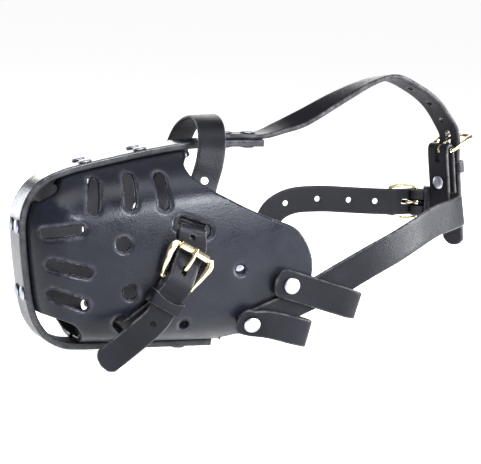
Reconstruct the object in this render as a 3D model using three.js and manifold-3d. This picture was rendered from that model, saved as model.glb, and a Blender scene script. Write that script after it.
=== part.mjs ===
// Leather basket muzzle for a large dog, in millimetres.
// +X runs from the nose to the neck, +Y to the dog's right, +Z up.
// The origin is on the flat under side of the bottom run of the centre strip.
import * as THREE from 'three';
import { mergeVertices } from 'three/addons/utils/BufferGeometryUtils.js';
import Module from 'manifold-3d';

const wasm = await Module();
wasm.setup();

// ---- driving dimensions ----
const GAP = 0.4;                // air between touching pieces
const SPINE_WIDTH = 28;         // centre strip, wrapped from the forehead to the chin
const SPINE_THICK = 5;
const PANEL_THICK = 4;          // moulded side panels
const TAB_FROM = 2.5;           // panel tabs reach this close to the middle plane
const TAB_TO = 11;              // where a tab leaves the strip and turns outwards
const HALF_WIDTH_REAR = 54;     // half width of the basket at the cheeks
const HALF_WIDTH_LOSS = 20;     // how much narrower each side is at the nose
const ROUND_TOP = 34;           // depth over which a panel rounds in to the strip
const ROUND_FRONT = 22;
const ROUND_BOTTOM = 30;
const STRAP_THICK = 2.6;        // nose strap, connector and keepers
const NOSE_WIDTH = 20;
const COLLAR_WIDTH = 23;
const COLLAR_THICK = 3;
const CROWN_WIDTH = 20;         // strap from the forehead over the head
const CROWN_THICK = 3.6;
const LOOP_THICK = 3;           // riveted side loops
const VENT_RADIUS = 3.4;
const RIVET_CAP = 5;            // small rivets along the strip
const BIG_RIVET_CAP = 5.8;      // loop and forehead rivets
const SHANK = 1.6;
const SHANK_HOLE = 2.1;
const WIRE = 1.5;               // radius of a buckle's frame wire
const ROLLER_RADIUS = 2.9;
const KEEPER_WALL = 1.5;
const PRONG_RADIUS = 1.1;
const PRONG_SWING = 8;          // degrees a buckled prong can lift off the outer bar
const FRAME_TIP = 6;            // degrees a buckled frame can tip about its hinge bar

const LEATHER = { color: 0x1a1c22, roughness: 0.42, metalness: 0 };
const BRASS = { color: 0xd8c48a, roughness: 0.25, metalness: 1 };
const NICKEL = { color: 0xd0d2d8, roughness: 0.3, metalness: 1 };

const muzzle = new THREE.Group();

// ---- general helpers ----
const vec = (x, y, z) => new THREE.Vector3(x, y, z);
const mix = (a, b, f) => a + (b - a) * f;
const smooth = (f) => f * f * (3 - 2 * f);
const clamp01 = (f) => Math.min(1, Math.max(0, f));

function addPiece(name, geometry, look) {
  const piece = new THREE.Mesh(geometry, new THREE.MeshStandardMaterial(look));
  piece.name = name;
  muzzle.add(piece);
  return piece;
}

function facingOut(geometry) {
  // Turns the faces over when the enclosed volume comes out negative.
  const position = geometry.getAttribute('position');
  const index = geometry.index.array;
  const a = vec(), b = vec(), c = vec();
  let volume = 0;
  for (let i = 0; i < index.length; i += 3) {
    a.fromBufferAttribute(position, index[i]);
    b.fromBufferAttribute(position, index[i + 1]);
    c.fromBufferAttribute(position, index[i + 2]);
    volume += a.dot(b.cross(c));
  }
  if (volume < 0) {
    for (let i = 0; i < index.length; i += 3) {
      [index[i], index[i + 1]] = [index[i + 1], index[i]];
    }
  }
  return geometry;
}

function bare(geometry) {
  // Keeps positions only, with shared vertices merged.
  const copy = geometry.clone();
  copy.deleteAttribute('normal');
  copy.deleteAttribute('uv');
  return facingOut(mergeVertices(copy, 1e-4));
}

function solid(geometry) {
  const merged = bare(geometry);
  return new wasm.Manifold(new wasm.Mesh({
    numProp: 3,
    vertProperties: new Float32Array(merged.getAttribute('position').array),
    triVerts: new Uint32Array(merged.index.array),
  }));
}

function fromSolid(body) {
  const mesh = body.getMesh();
  const geometry = new THREE.BufferGeometry();
  geometry.setAttribute('position', new THREE.BufferAttribute(mesh.vertProperties, 3));
  geometry.setIndex(new THREE.BufferAttribute(mesh.triVerts, 1));
  return geometry;
}

const cut = (geometry, tools) => fromSolid(
  tools.reduce((body, tool) => body.subtract(solid(tool)), solid(geometry)));
const join = (parts) => fromSolid(
  parts.slice(1).reduce((body, part) => body.add(solid(part)), solid(parts[0])));

function mirrored(geometry) {
  return facingOut(bare(geometry).scale(1, -1, 1));
}

function rod(from, to, radius, sides = 8) {
  // Round bar between two points.
  const along = to.clone().sub(from);
  const geometry = new THREE.CylinderGeometry(radius, radius, along.length(), sides);
  geometry.applyQuaternion(new THREE.Quaternion().setFromUnitVectors(vec(0, 1, 0), along.clone().normalize()));
  return geometry.translate(...from.clone().add(to).multiplyScalar(0.5).toArray());
}

function prism(outline, yFrom, yTo) {
  // A side-view outline, given in x and z, made solid from yFrom to yTo.
  const geometry = new THREE.ExtrudeGeometry(outline, {
    depth: yTo - yFrom, bevelEnabled: false, curveSegments: 4,
  });
  return geometry.rotateX(Math.PI / 2).translate(0, yTo, 0);
}

function slotOutline([x1, z1], [x2, z2], radius) {
  const angle = Math.atan2(z2 - z1, x2 - x1);
  const outline = new THREE.Shape();
  outline.absarc(x1, z1, radius, angle + Math.PI / 2, angle - Math.PI / 2);
  outline.absarc(x2, z2, radius, angle - Math.PI / 2, angle + Math.PI / 2);
  return outline;
}

// A strap is a list of stations { at, face, width }: a point on its middle, the direction
// that its outer face looks, and its width there. Anything between is interpolated.
function strapStation(stations, u) {
  const curve = new THREE.CatmullRomCurve3(stations.map((s) => s.at), false, 'centripetal');
  const last = stations.length - 1;
  const k = Math.min(last - 1, Math.floor(u * last));
  const f = smooth(u * last - k);
  const at = curve.getPoint(u);
  const tangent = curve.getTangent(u);
  const face = stations[k].face.clone().lerp(stations[k + 1].face, f);
  face.addScaledVector(tangent, -face.dot(tangent)).normalize();
  const width = mix(stations[k].width, stations[k + 1].width, f);
  return { at, tangent, face, width, side: tangent.clone().cross(face) };
}

function strap(stations, thickness, perSpan = 2) {
  const count = (stations.length - 1) * perSpan;
  const corners = [];
  for (let i = 0; i <= count; i += 1) {
    const { at, face, side, width } = strapStation(stations, i / count);
    for (const [s, f] of [[-1, -1], [1, -1], [1, 1], [-1, 1]]) {
      const corner = at.clone().addScaledVector(side, s * width / 2);
      corners.push(...corner.addScaledVector(face, f * thickness / 2).toArray());
    }
  }
  const index = [0, 1, 2, 0, 2, 3];
  for (let i = 0; i < count; i += 1) {
    for (let k = 0; k < 4; k += 1) {
      const a = 4 * i + k;
      const b = 4 * i + (k + 1) % 4;
      index.push(a, a + 4, b, b, a + 4, b + 4);
    }
  }
  const e = 4 * count;
  index.push(e, e + 2, e + 1, e, e + 3, e + 2);
  const geometry = new THREE.BufferGeometry();
  geometry.setAttribute('position', new THREE.Float32BufferAttribute(corners, 3));
  geometry.setIndex(index);
  return facingOut(geometry);
}

function punch(at, direction, radius, reach = 12) {
  const half = direction.clone().normalize().multiplyScalar(reach);
  return rod(at.clone().sub(half), at.clone().add(half), radius, 8);
}

// ---- centre strip: forehead tail, nose plate and chin run in one bent band ----
const SPINE_LINE = [
  [93, 146.4], [60, 146.2], [32, 144.6], [16, 142.4], [-24, 134.4], [-60, 125.4],
  [-74, 118.6], [-83.6, 107.6], [-87.8, 94], [-87.4, 76], [-84.8, 54], [-81.6, 34],
  [-77, 20.5], [-68.4, 9.6], [-56, 3.6], [-44, 2.5], [-30, 2.5], [5, 2.5], [59, 2.5],
];
const spineCurve = new THREE.CatmullRomCurve3(
  SPINE_LINE.map(([x, z]) => vec(x, 0, z)), false, 'centripetal');
const SPINE_STEPS = (SPINE_LINE.length - 1) * 3;
const spineSamples = Array.from({ length: SPINE_STEPS + 1 }, (_, i) => {
  const at = spineCurve.getPoint(i / SPINE_STEPS);
  const t = spineCurve.getTangent(i / SPINE_STEPS);
  return { at, inward: vec(-t.z, 0, t.x).normalize() };
});

function nearestOnSpine(x, z) {
  // Closest point of the strip's middle line, with the distance from the strip's inner face.
  let best = null;
  for (let i = 0; i < SPINE_STEPS; i += 1) {
    const a = spineSamples[i];
    const b = spineSamples[i + 1];
    const span = b.at.clone().sub(a.at);
    const f = clamp01(vec(x, 0, z).sub(a.at).dot(span) / span.lengthSq());
    const at = a.at.clone().lerp(b.at, f);
    const distance = Math.hypot(x - at.x, z - at.z);
    if (!best || distance < best.distance) {
      best = { at, distance, inward: a.inward.clone().lerp(b.inward, f).normalize() };
    }
  }
  return best;
}

function spineOutline() {
  const outer = spineSamples.map(({ at, inward }) => at.clone().addScaledVector(inward, -SPINE_THICK / 2));
  const inner = spineSamples.map(({ at, inward }) => at.clone().addScaledVector(inward, SPINE_THICK / 2));
  return new THREE.Shape([...outer, ...inner.reverse()].map((p) => new THREE.Vector2(p.x, p.z)));
}

// ---- the moulded shape of a side panel ----
function panelHalfWidth(x, z) {
  const { at, distance } = nearestOnSpine(x, z);
  const depth = Math.max(0, distance - SPINE_THICK / 2 - GAP);
  const towardsTop = smooth(clamp01((at.x + 84) / 24)) * (at.z > 60 ? 1 : 0);
  const towardsBottom = smooth(clamp01((at.x + 80) / 24)) * (at.z > 60 ? 0 : 1);
  const round = ROUND_FRONT + towardsTop * (ROUND_TOP - ROUND_FRONT)
    + towardsBottom * (ROUND_BOTTOM - ROUND_FRONT);
  const rise = Math.sqrt(1 - (1 - clamp01(depth / round)) ** 2);
  const side = HALF_WIDTH_REAR - HALF_WIDTH_LOSS * clamp01((116 - x) / 200) ** 2.2;
  return mix(TAB_TO, side, rise);
}

function panelPoint(x, z, lift = 0) {
  // A point at the given height over the outer face of the left panel, and the face's normal.
  const step = 1.5;
  const dx = (panelHalfWidth(x + step, z) - panelHalfWidth(x - step, z)) / (2 * step);
  const dz = (panelHalfWidth(x, z + step) - panelHalfWidth(x, z - step)) / (2 * step);
  const face = vec(-dx, -1, -dz).normalize();
  return { at: vec(x, -panelHalfWidth(x, z), z).addScaledVector(face, lift), face };
}

// Lines across a panel, each from the strip's inner face to the panel's rear edge.
const PANEL_RIBS = [
  [[31, 141.5], [27, 140]], [[16, 139.5], [22, 134]], [[4, 137], [24, 127]], [[-12, 134], [31, 121]],
  [[-32, 129], [43, 114.5]], [[-52, 124], [61, 105.5]], [[-70, 117], [80, 97.5]], [[-82, 102], [100, 90]],
  [[-85, 84], [109, 80]], [[-83, 62], [113.6, 69]], [[-80, 42], [114.2, 57]], [[-75, 24], [111.4, 46]],
  [[-62, 9], [103, 35]], [[-38, 5.5], [89, 25]], [[-10, 5.5], [74, 16.5]], [[25, 5.5], [61, 11]],
  [[54, 5.5], [55, 8]],
];
const RIB_STEPS = 8;
const RIBS = (PANEL_RIBS.length - 1) * 1.5;

function panelShell() {
  const line = (k) => new THREE.CatmullRomCurve3(
    PANEL_RIBS.map((rib) => vec(rib[k][0], 0, rib[k][1])), false, 'centripetal');
  const front = line(0);
  const rear = line(1);
  const grid = [];
  for (let i = 0; i <= RIBS; i += 1) {
    const near = nearestOnSpine(front.getPoint(i / RIBS).x, front.getPoint(i / RIBS).z);
    const start = near.at.clone().addScaledVector(near.inward, SPINE_THICK / 2 + GAP);
    const end = rear.getPoint(i / RIBS);
    const row = [vec(start.x, -TAB_FROM, start.z), vec(start.x, -TAB_TO, start.z)];
    for (let j = 1; j <= RIB_STEPS; j += 1) {
      const f = (j / RIB_STEPS) ** 1.9;
      const x = mix(start.x, end.x, f);
      const z = mix(start.z, end.z, f);
      row.push(vec(x, -panelHalfWidth(x, z), z));
    }
    grid.push(row);
  }
  const columns = grid[0].length;
  const outer = (i, j) => grid[Math.min(RIBS, Math.max(0, i))][Math.min(columns - 1, Math.max(0, j))];
  const positions = [];
  const push = (p) => positions.push(p.x, p.y, p.z);
  grid.forEach((row) => row.forEach(push));
  grid.forEach((row, i) => row.forEach((p, j) => {
    const along = outer(i + 1, j).clone().sub(outer(i - 1, j));
    const across = outer(i, j + 1).clone().sub(outer(i, j - 1));
    push(p.clone().addScaledVector(across.cross(along).normalize(), PANEL_THICK));
  }));
  const back = grid.length * columns;
  const id = (i, j, side) => side * back + i * columns + j;
  const index = [];
  const quad = (a, b, c, d) => index.push(a, b, c, a, c, d);
  for (let i = 0; i < RIBS; i += 1) {
    for (let j = 0; j < columns - 1; j += 1) {
      quad(id(i, j, 0), id(i, j + 1, 0), id(i + 1, j + 1, 0), id(i + 1, j, 0));
      quad(id(i, j, 1), id(i + 1, j, 1), id(i + 1, j + 1, 1), id(i, j + 1, 1));
    }
    quad(id(i, 0, 0), id(i + 1, 0, 0), id(i + 1, 0, 1), id(i, 0, 1));
    quad(id(i, columns - 1, 0), id(i, columns - 1, 1), id(i + 1, columns - 1, 1), id(i + 1, columns - 1, 0));
  }
  for (let j = 0; j < columns - 1; j += 1) {
    quad(id(0, j, 0), id(0, j, 1), id(0, j + 1, 1), id(0, j + 1, 0));
    quad(id(RIBS, j, 0), id(RIBS, j + 1, 0), id(RIBS, j + 1, 1), id(RIBS, j, 1));
  }
  const geometry = new THREE.BufferGeometry();
  geometry.setAttribute('position', new THREE.Float32BufferAttribute(positions, 3));
  geometry.setIndex(index);
  return facingOut(geometry);
}

// Openings of a panel in the side view.
const VENTS = [
  [[-42.5, 120], [-45, 103.4]], [[-18.6, 123.6], [-19.4, 106.2]], [[2.2, 124.4], [4, 106.2]],
  [[-75.6, 85.6], [-54.6, 88.8]], [[-71.5, 63.8], [-48.3, 59]], [[-70.3, 43], [-50.3, 36.2]],
];
// The right panel's openings were cut a little off the mirror image of the left ones.
const RIGHT_VENTS = [
  [[-42.5, 120], [-45, 103.4]], [[-29.6, 121.6], [-30.4, 104.4]], [[-7.4, 124.2], [-6, 106.2]],
  [[-75.6, 85.6], [-54.6, 88.8]], [[-71.5, 71.6], [-48.3, 66.8]], [[-70.3, 51], [-50.3, 45]],
];
const PANEL_HOLES = [[-24, 79, 4.7], [-18.4, 45, 4.5], [60.3, 60.6, 3.2], [22, 21.4, 3.3]];
const RIGHT_HOLES = [[-24, 79, 4.7], [-14.6, 44.4, 4.5], [60.3, 60.6, 3.2], [22, 21.4, 3.3]];
const UPPER_SLOT = { at: [24.5, 91], angle: -0.32, length: 27, radius: 4.6 };
const LOWER_SLOT = { at: [-19, 18], angle: -0.74, length: 24.4, radius: 4.6 };
const TOP_CORNER = [[-86.4, 102.8], [-80.2, 104.2], [-73.3, 108.8], [-67, 113.4], [-63.3, 118.5], [-60.4, 124]];
const RIGHT_TOP_CORNER = [
  [-86.4, 107.6], [-82.8, 109], [-78.6, 112], [-75, 115.8], [-72.4, 120.6], [-70.8, 126],
];
const CHIN_CORNER = [[-86, 29.5], [-79.8, 28.8], [-66, 25.4], [-54.5, 20.4], [-48.8, 12.6], [-47, 6]];

function strapSlot({ at, angle, length, radius }) {
  const half = length / 2 - radius;
  const reach = [half * Math.cos(angle), half * Math.sin(angle)];
  return slotOutline([at[0] - reach[0], at[1] - reach[1]], [at[0] + reach[0], at[1] + reach[1]], radius);
}

function cornerOutline(points, outsideZ) {
  const outline = new THREE.Shape();
  outline.moveTo(-110, outsideZ);
  outline.lineTo(-110, points[0][1]);
  outline.lineTo(...points[0]);
  outline.splineThru(points.slice(1).map(([x, z]) => new THREE.Vector2(x, z)));
  outline.lineTo(points.at(-1)[0], outsideZ);
  return outline;
}

// ---- rivets ----
function rivet(name, at, direction, grip, cap) {
  // Two domed caps on a shank; at is the middle of the leather that it holds.
  const half = grip / 2 + GAP;
  const back = cap * 0.85;
  const profile = [
    [0, half + 1.5], [cap * 0.7, half + 1.2], [cap, half], [SHANK, half],
    [SHANK, -half - 0.5], [back, -half - 0.5], [back * 0.7, -half - 1.4], [0, -half - 1.5],
  ].map(([r, h]) => new THREE.Vector2(r, h));
  const piece = addPiece(name, bare(new THREE.LatheGeometry(profile, 8)), NICKEL);
  piece.quaternion.setFromUnitVectors(vec(0, 1, 0), direction.clone().normalize());
  piece.position.copy(at);
  return piece;
}

const STRIP_RIVETS = [
  ['top_1', [-42, 130]], ['top_2', [-2, 139]], ['front_1', [-88, 88]], ['front_2', [-83, 41]],
  ['chin_1', [-22, 2.5]], ['chin_2', [30, 2.5]],
];
const RIVET_COLUMN = 8;
const stripRivets = STRIP_RIVETS.flatMap(([label, [x, z]]) => {
  const { at, inward } = nearestOnSpine(x, z);
  const middle = at.clone().addScaledVector(inward, (PANEL_THICK + GAP) / 2);
  return [-1, 1].map((side) => ({
    name: `rivet_${label}_${side < 0 ? 'left' : 'right'}`,
    at: middle.clone().setY(side * RIVET_COLUMN), outward: inward.clone().negate(), side,
  }));
});
const stripGrip = SPINE_THICK + GAP + PANEL_THICK;
stripRivets.forEach((r) => rivet(r.name, r.at, r.outward, stripGrip, RIVET_CAP));

// ---- where the strap over the head lies on the strip's tail ----
const FOREHEAD_RIVETS = [64, 82];
const crownZ = 146.3 + SPINE_THICK / 2 + GAP + CROWN_THICK / 2;

// ---- centre strip, cut for its rivets ----
const stripHoles = stripRivets.map((r) => punch(r.at, r.outward, SHANK_HOLE));
const tailHoles = FOREHEAD_RIVETS.map((x) => punch(vec(x, 0, crownZ), vec(0, 0, 1), SHANK_HOLE));
addPiece('centre_strip', cut(prism(spineOutline(), -SPINE_WIDTH / 2, SPINE_WIDTH / 2),
  [...stripHoles, ...tailHoles]), LEATHER);

// ---- side panels ----
const LOOP_RIVETS = { upper: [95.5, 49.8], lower: [68.7, 25.4] };

function sidePanel(vents, holes, topCorner) {
  const outlines = [
    ...vents.map(([a, b]) => slotOutline(a, b, VENT_RADIUS)),
    strapSlot(UPPER_SLOT), cornerOutline(topCorner, 150), cornerOutline(CHIN_CORNER, -20),
  ];
  const tools = outlines.map((outline) => prism(outline, -80, 5));
  tools.push(prism(strapSlot(LOWER_SLOT), -80, -15));
  holes.forEach(([x, z, r]) => tools.push(punch(vec(x, -45, z), vec(0, 1, 0), r, 25)));
  Object.values(LOOP_RIVETS).forEach(([x, z]) => {
    const { at, face } = panelPoint(x, z);
    tools.push(punch(at, face, SHANK_HOLE));
  });
  stripRivets.filter((r) => r.side < 0).forEach((r) => tools.push(punch(r.at, r.outward, SHANK_HOLE)));
  return cut(panelShell(), tools);
}
addPiece('side_panel_left', sidePanel(VENTS, PANEL_HOLES, TOP_CORNER), LEATHER);
addPiece('side_panel_right', mirrored(sidePanel(RIGHT_VENTS, RIGHT_HOLES, RIGHT_TOP_CORNER)), LEATHER);

// ---- the riveted side loops ----
const inPlane = (x, z, w, width, face = vec(0, -1, 0)) => ({ at: vec(x, -w, z), face, width });
const onPanel = (x, z, lift, width, turn = 1) => {
  const { at, face } = panelPoint(x, z, lift);
  return { at, face: face.multiplyScalar(turn), width };
};
const across = ({ at, face, width }) => (
  { at: at.clone().multiply(vec(1, -1, 1)), face: face.clone().multiply(vec(1, -1, 1)), width });

const ANCHOR_LIFT = GAP + 0.6 + COLLAR_THICK / 2;
const LEG_LIFT = ANCHOR_LIFT + 0.6 + COLLAR_THICK / 2 + GAP + LOOP_THICK / 2;
const INNER_LIFT = -(PANEL_THICK + GAP + LOOP_THICK / 2);
const LOOP_OUT = 59.7;          // distance of the loops' outer legs from the middle plane
const LOOP_IN = 47.2;
const fold = (x, z, slope) => {
  const middle = (LOOP_OUT + LOOP_IN) / 2;
  const half = (LOOP_OUT - LOOP_IN) / 2;
  return [50, 90, 130].map((degrees) => {
    const a = THREE.MathUtils.degToRad(degrees);
    const along = vec(Math.cos(slope), 0, Math.sin(slope));
    const face = along.clone().multiplyScalar(Math.sin(a)).add(vec(0, -Math.cos(a), 0));
    return { at: vec(x, -middle, z).add(face.clone().multiplyScalar(half)), face, width: 20 };
  });
};
const LOOP_SLOPE = -0.3;
const LOOPS = {
  upper: [
    inPlane(83.5, 53.6, LOOP_OUT, 8), inPlane(87, 52.5, LOOP_OUT, 18), inPlane(98, 49, LOOP_OUT, 21),
    inPlane(120, 42.3, LOOP_OUT, 21), inPlane(141, 35.8, LOOP_OUT, 21), ...fold(142.6, 35.3, LOOP_SLOPE),
    inPlane(141, 35.8, LOOP_IN, 21, vec(0, 1, 0)), inPlane(118, 42.9, LOOP_IN, 21, vec(0, 1, 0)),
    inPlane(98, 49, LOOP_IN, 21, vec(0, 1, 0)), inPlane(89, 51.8, LOOP_IN, 16, vec(0, 1, 0)),
  ],
  lower: [
    onPanel(57, 28.6, LEG_LIFT, 8), onPanel(60, 27.8, LEG_LIFT, 17), onPanel(68.7, 25.4, LEG_LIFT, 20),
    inPlane(79, 22.5, 60.1, 20, vec(0, -1, -0.1)), inPlane(103, 16.4, LOOP_OUT, 20), ...fold(105, 16, -0.26),
    inPlane(103, 16.8, LOOP_IN, 20, vec(0, 1, 0)), inPlane(93, 20.4, 45.4, 19, vec(0, 1, 0.2)),
    onPanel(80, 23.6, INNER_LIFT - 2.4, 17.4, -1), onPanel(68.7, 25.4, INNER_LIFT - 1.8, 17, -1),
    onPanel(61, 27, INNER_LIFT - 1.6, 12, -1),
  ],
};

function loopRivetAxis(label) {
  const [x, z] = LOOP_RIVETS[label];
  const { at, face } = panelPoint(x, z);
  return { at, direction: label === 'upper' ? vec(0, -1, 0) : face };
}

Object.entries(LOOPS).forEach(([label, stations]) => {
  const { at, direction } = loopRivetAxis(label);
  const left = cut(strap(stations, LOOP_THICK), [punch(at, direction, SHANK_HOLE, 20)]);
  addPiece(`loop_${label}_left`, left, LEATHER);
  addPiece(`loop_${label}_right`, mirrored(left), LEATHER);
  const outerFace = LEG_LIFT + LOOP_THICK / 2 + (label === 'lower' ? 0.9 : 0);
  const innerFace = -INNER_LIFT + LOOP_THICK / 2 + (label === 'lower' ? 2.6 : 1);
  const middle = at.clone().addScaledVector(direction, (outerFace - innerFace) / 2);
  rivet(`rivet_loop_${label}_left`, middle, direction, outerFace + innerFace, BIG_RIVET_CAP);
  rivet(`rivet_loop_${label}_right`, middle.clone().multiply(vec(1, -1, 1)),
    direction.clone().multiply(vec(1, -1, 1)), outerFace + innerFace, BIG_RIVET_CAP);
});

// ---- buckles: x runs along the hinge bar, y from the hinge bar to the outer bar, z outwards ----
function seatAt(at, toward, out) {
  const along = toward.clone().normalize();
  const up = out.clone().addScaledVector(along, -out.dot(along)).normalize();
  return new THREE.Matrix4().makeBasis(along.clone().cross(up), along, up).setPosition(at);
}
const seated = (seat, y, h, fy, fh, width) => {
  const turn = new THREE.Matrix3().setFromMatrix4(seat);
  return { at: vec(0, y, h).applyMatrix4(seat), face: vec(0, fy, fh).applyMatrix3(turn).normalize(), width };
};

function frameGeometry(half, outerHalf, length) {
  // Four bars; the two arms may spread from the hinge bar to the outer bar.
  const corners = [vec(-half, 0, 0), vec(half, 0, 0), vec(outerHalf, length, 0), vec(-outerHalf, length, 0)];
  return join(corners.flatMap((corner, i) => [
    rod(corner, corners[(i + 1) % 4], WIRE),
    new THREE.SphereGeometry(WIRE, 8, 4).translate(...corner.toArray()),
  ]));
}

function sleeve(inner, outer, length, sides = 14) {
  const profile = [
    [inner, -length / 2], [outer, -length / 2], [outer, length / 2], [inner, length / 2], [inner, -length / 2],
  ].map(([r, h]) => new THREE.Vector2(r, h));
  return bare(new THREE.LatheGeometry(profile, sides)).rotateZ(Math.PI / 2);
}

const prongRods = (line, radius, lift = 0) => line.slice(1).flatMap(([y, h], i) => {
  const from = vec(0, ...line[i]);
  const to = vec(0, y, h);
  return [rod(from, to, radius, 6), new THREE.SphereGeometry(radius, 6, 4).translate(0, y, h)];
}).map((part) => part.rotateX(THREE.MathUtils.degToRad(lift)));

function prongClearance(line, seat, lowest = 0) {
  // The room that a prong sweeps as its frame tips and the prong lifts off the outer bar.
  const highest = FRAME_TIP + PRONG_SWING;
  return [0, 0.5, 1].map((f) => mix(lowest, highest, f)).map((lift) => (
    join(prongRods(line, PRONG_RADIUS + 0.7, lift)).applyMatrix4(seat)));
}

// The slot that a fold has for its prong; it stops just over the fold's outer face.
const PRONG_SLOT = 2.5;          // half width
const SLOT_REACH = 7.5;
function foldSlot(seat, thickness) {
  const top = foldRadius(thickness) + thickness / 2 + 0.1;
  return new THREE.BoxGeometry(2 * PRONG_SLOT, 2 * SLOT_REACH, SLOT_REACH + top)
    .translate(0, 0, (top - SLOT_REACH) / 2).applyMatrix4(seat);
}

function buckle(prefix, seat, half, outerHalf, length, line) {
  addPiece(`${prefix}_buckle_frame`, frameGeometry(half, outerHalf, length).applyMatrix4(seat), BRASS);
  const ring = sleeve(WIRE + 0.35, WIRE + 1.5, 3.2);
  addPiece(`${prefix}_buckle_prong`, join([ring, ...prongRods(line, PRONG_RADIUS)]).applyMatrix4(seat), BRASS);
}

function keeper(name, seat, halfWidth, low, high, from, to) {
  const box = (extra, reach) => new THREE.BoxGeometry(
    2 * (halfWidth + extra), Math.abs(to - from) + reach, high - low + 2 * extra)
    .translate(0, (from + to) / 2, (high + low) / 2);
  const ring = cut(box(KEEPER_WALL, 0), [box(0, 4)]);
  addPiece(name, ring.applyMatrix4(seat), LEATHER);
}

// A strap end folded round the hinge bar, from its free end to the layer under the bar.
const foldRadius = (thickness) => WIRE + 0.4 + thickness / 2;
function foldedEnd(seat, thickness, width, reach) {
  const r = foldRadius(thickness);
  const low = -r + thickness + 0.5;
  return [
    [-reach, low, 0, -1], [-12, low, 0, -1], [-8, low + 0.3, 0, -1], [-2, r - 0.4, 0.15, -1],
    [0.6, r, -0.2, -1], [r * 0.77, r * 0.64, -0.77, -0.64], [r, 0, -1, 0], [r * 0.77, -r * 0.64, -0.77, 0.64],
    [0.6, -r, -0.2, 1], [-3, -r, 0, 1], [-12, -r, 0, 1], [-reach, -r, 0, 1],
  ].map(([y, h, fy, fh]) => seated(seat, y, h, fy, fh, width));
}

// The tongue: under the outer bar, up through the frame, over the fold and down on it.
function tongueRun(seat, thickness, width, length, barRadius, reach) {
  const r = foldRadius(thickness);
  const under = -(barRadius + 0.4 + thickness / 2);
  const over = r + thickness + 0.6;
  const rest = -r + 2 * thickness + 1.1;
  return [
    [length + 1, under], [length - 4, under + 0.5], [length * 0.5, (under + over) / 2 - 0.6], [2.5, over - 0.5],
    [-1, over], [-5, over - 1.2], [-10.5, rest], [-reach, rest],
  ].map(([y, h]) => seated(seat, y, h, 0, 1, width));
}

const COLLAR_PRONG = [[2.4, 0], [6, 0.2], [11, 3], [16, 3.4], [23, 3.3]];
const NOSE_PRONG = [[2.4, 0], [7, 0.4], [12, 3.8], [18, 4.9], [27.5, 4.6]];

// ---- nose strap ----
const NOSE_HINGE = [11.5, 53.2];
const NOSE_LENGTH = 25;
const noseHinge = panelPoint(...NOSE_HINGE, 7.7).at;
const noseSeat = seatAt(noseHinge, vec(0.486, -0.045, 0.874), vec(0, -1, 0));
const slotAxis = ({ angle }) => vec(Math.sin(angle), 0, -Math.cos(angle));
const upperDown = slotAxis(UPPER_SLOT);
const lowerDown = slotAxis(LOWER_SLOT);
const STRAP_LIFT = GAP + 0.5 + STRAP_THICK / 2;
const LEG_INSIDE = -(PANEL_THICK + GAP + 0.5 + STRAP_THICK / 2);

function slotPass({ at: [x, z] }, down, above, below, width) {
  // Through a slot along y: stations on the upper and the lower side of the panel.
  const through = (lift) => {
    const { at } = panelPoint(x, z, 0);
    return { at: at.add(vec(0, -lift, 0)), face: down.clone().negate(), width };
  };
  const beside = (step, lift) => {
    const { at, face } = panelPoint(x + down.x * step, z + down.z * step, lift);
    return { at, face, width };
  };
  return { through, above: beside(-4.4, above), below: beside(4.4, below) };
}
const upperPass = slotPass(UPPER_SLOT, upperDown, LEG_INSIDE, STRAP_LIFT, NOSE_WIDTH);
const lowerPass = slotPass(LOWER_SLOT, lowerDown, STRAP_LIFT, LEG_INSIDE, NOSE_WIDTH);
const lowerThrough = (y, x, z, fx, fz) => ({ at: vec(x, y, z), face: vec(fx, 0, fz), width: NOSE_WIDTH });

const throughLower = [
  lowerPass.above,
  { ...lowerPass.through(-1), face: lowerDown },
  { ...lowerPass.through(-6), face: lowerDown },
];
const noseLeg = [
  upperPass.above,
  onPanel(29.2, 104, LEG_INSIDE, NOSE_WIDTH), inPlane(32.4, 113, 41.6, NOSE_WIDTH, vec(-0.12, -1, 0.15)),
  inPlane(36, 122.5, 38.6, NOSE_WIDTH, vec(-0.25, -1, 0.2)),
  inPlane(39.6, 134, 37.4, NOSE_WIDTH, vec(-0.25, -1, 0)),
  inPlane(42, 145, 34.6, NOSE_WIDTH, vec(-0.2, -1, 0.4)),
  inPlane(44, 154.5, 28, NOSE_WIDTH, vec(-0.15, -0.8, 0.6)),
  inPlane(46, 161.5, 16.5, NOSE_WIDTH, vec(-0.1, -0.45, 1)),
  inPlane(47.2, 164.6, 0, NOSE_WIDTH, vec(-0.05, 0, 1)),
];
const throughUpper = [
  upperPass.below,
  { ...upperPass.through(-0.2), face: upperDown.clone().negate() },
  { ...upperPass.through(-4), face: upperDown.clone().negate() },
];
const farSide = [
  onPanel(-12.4, 24.8, STRAP_LIFT, NOSE_WIDTH), onPanel(-5, 34, STRAP_LIFT, NOSE_WIDTH),
  onPanel(6, 53, STRAP_LIFT, NOSE_WIDTH), onPanel(17, 73, STRAP_LIFT, NOSE_WIDTH),
];
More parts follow.
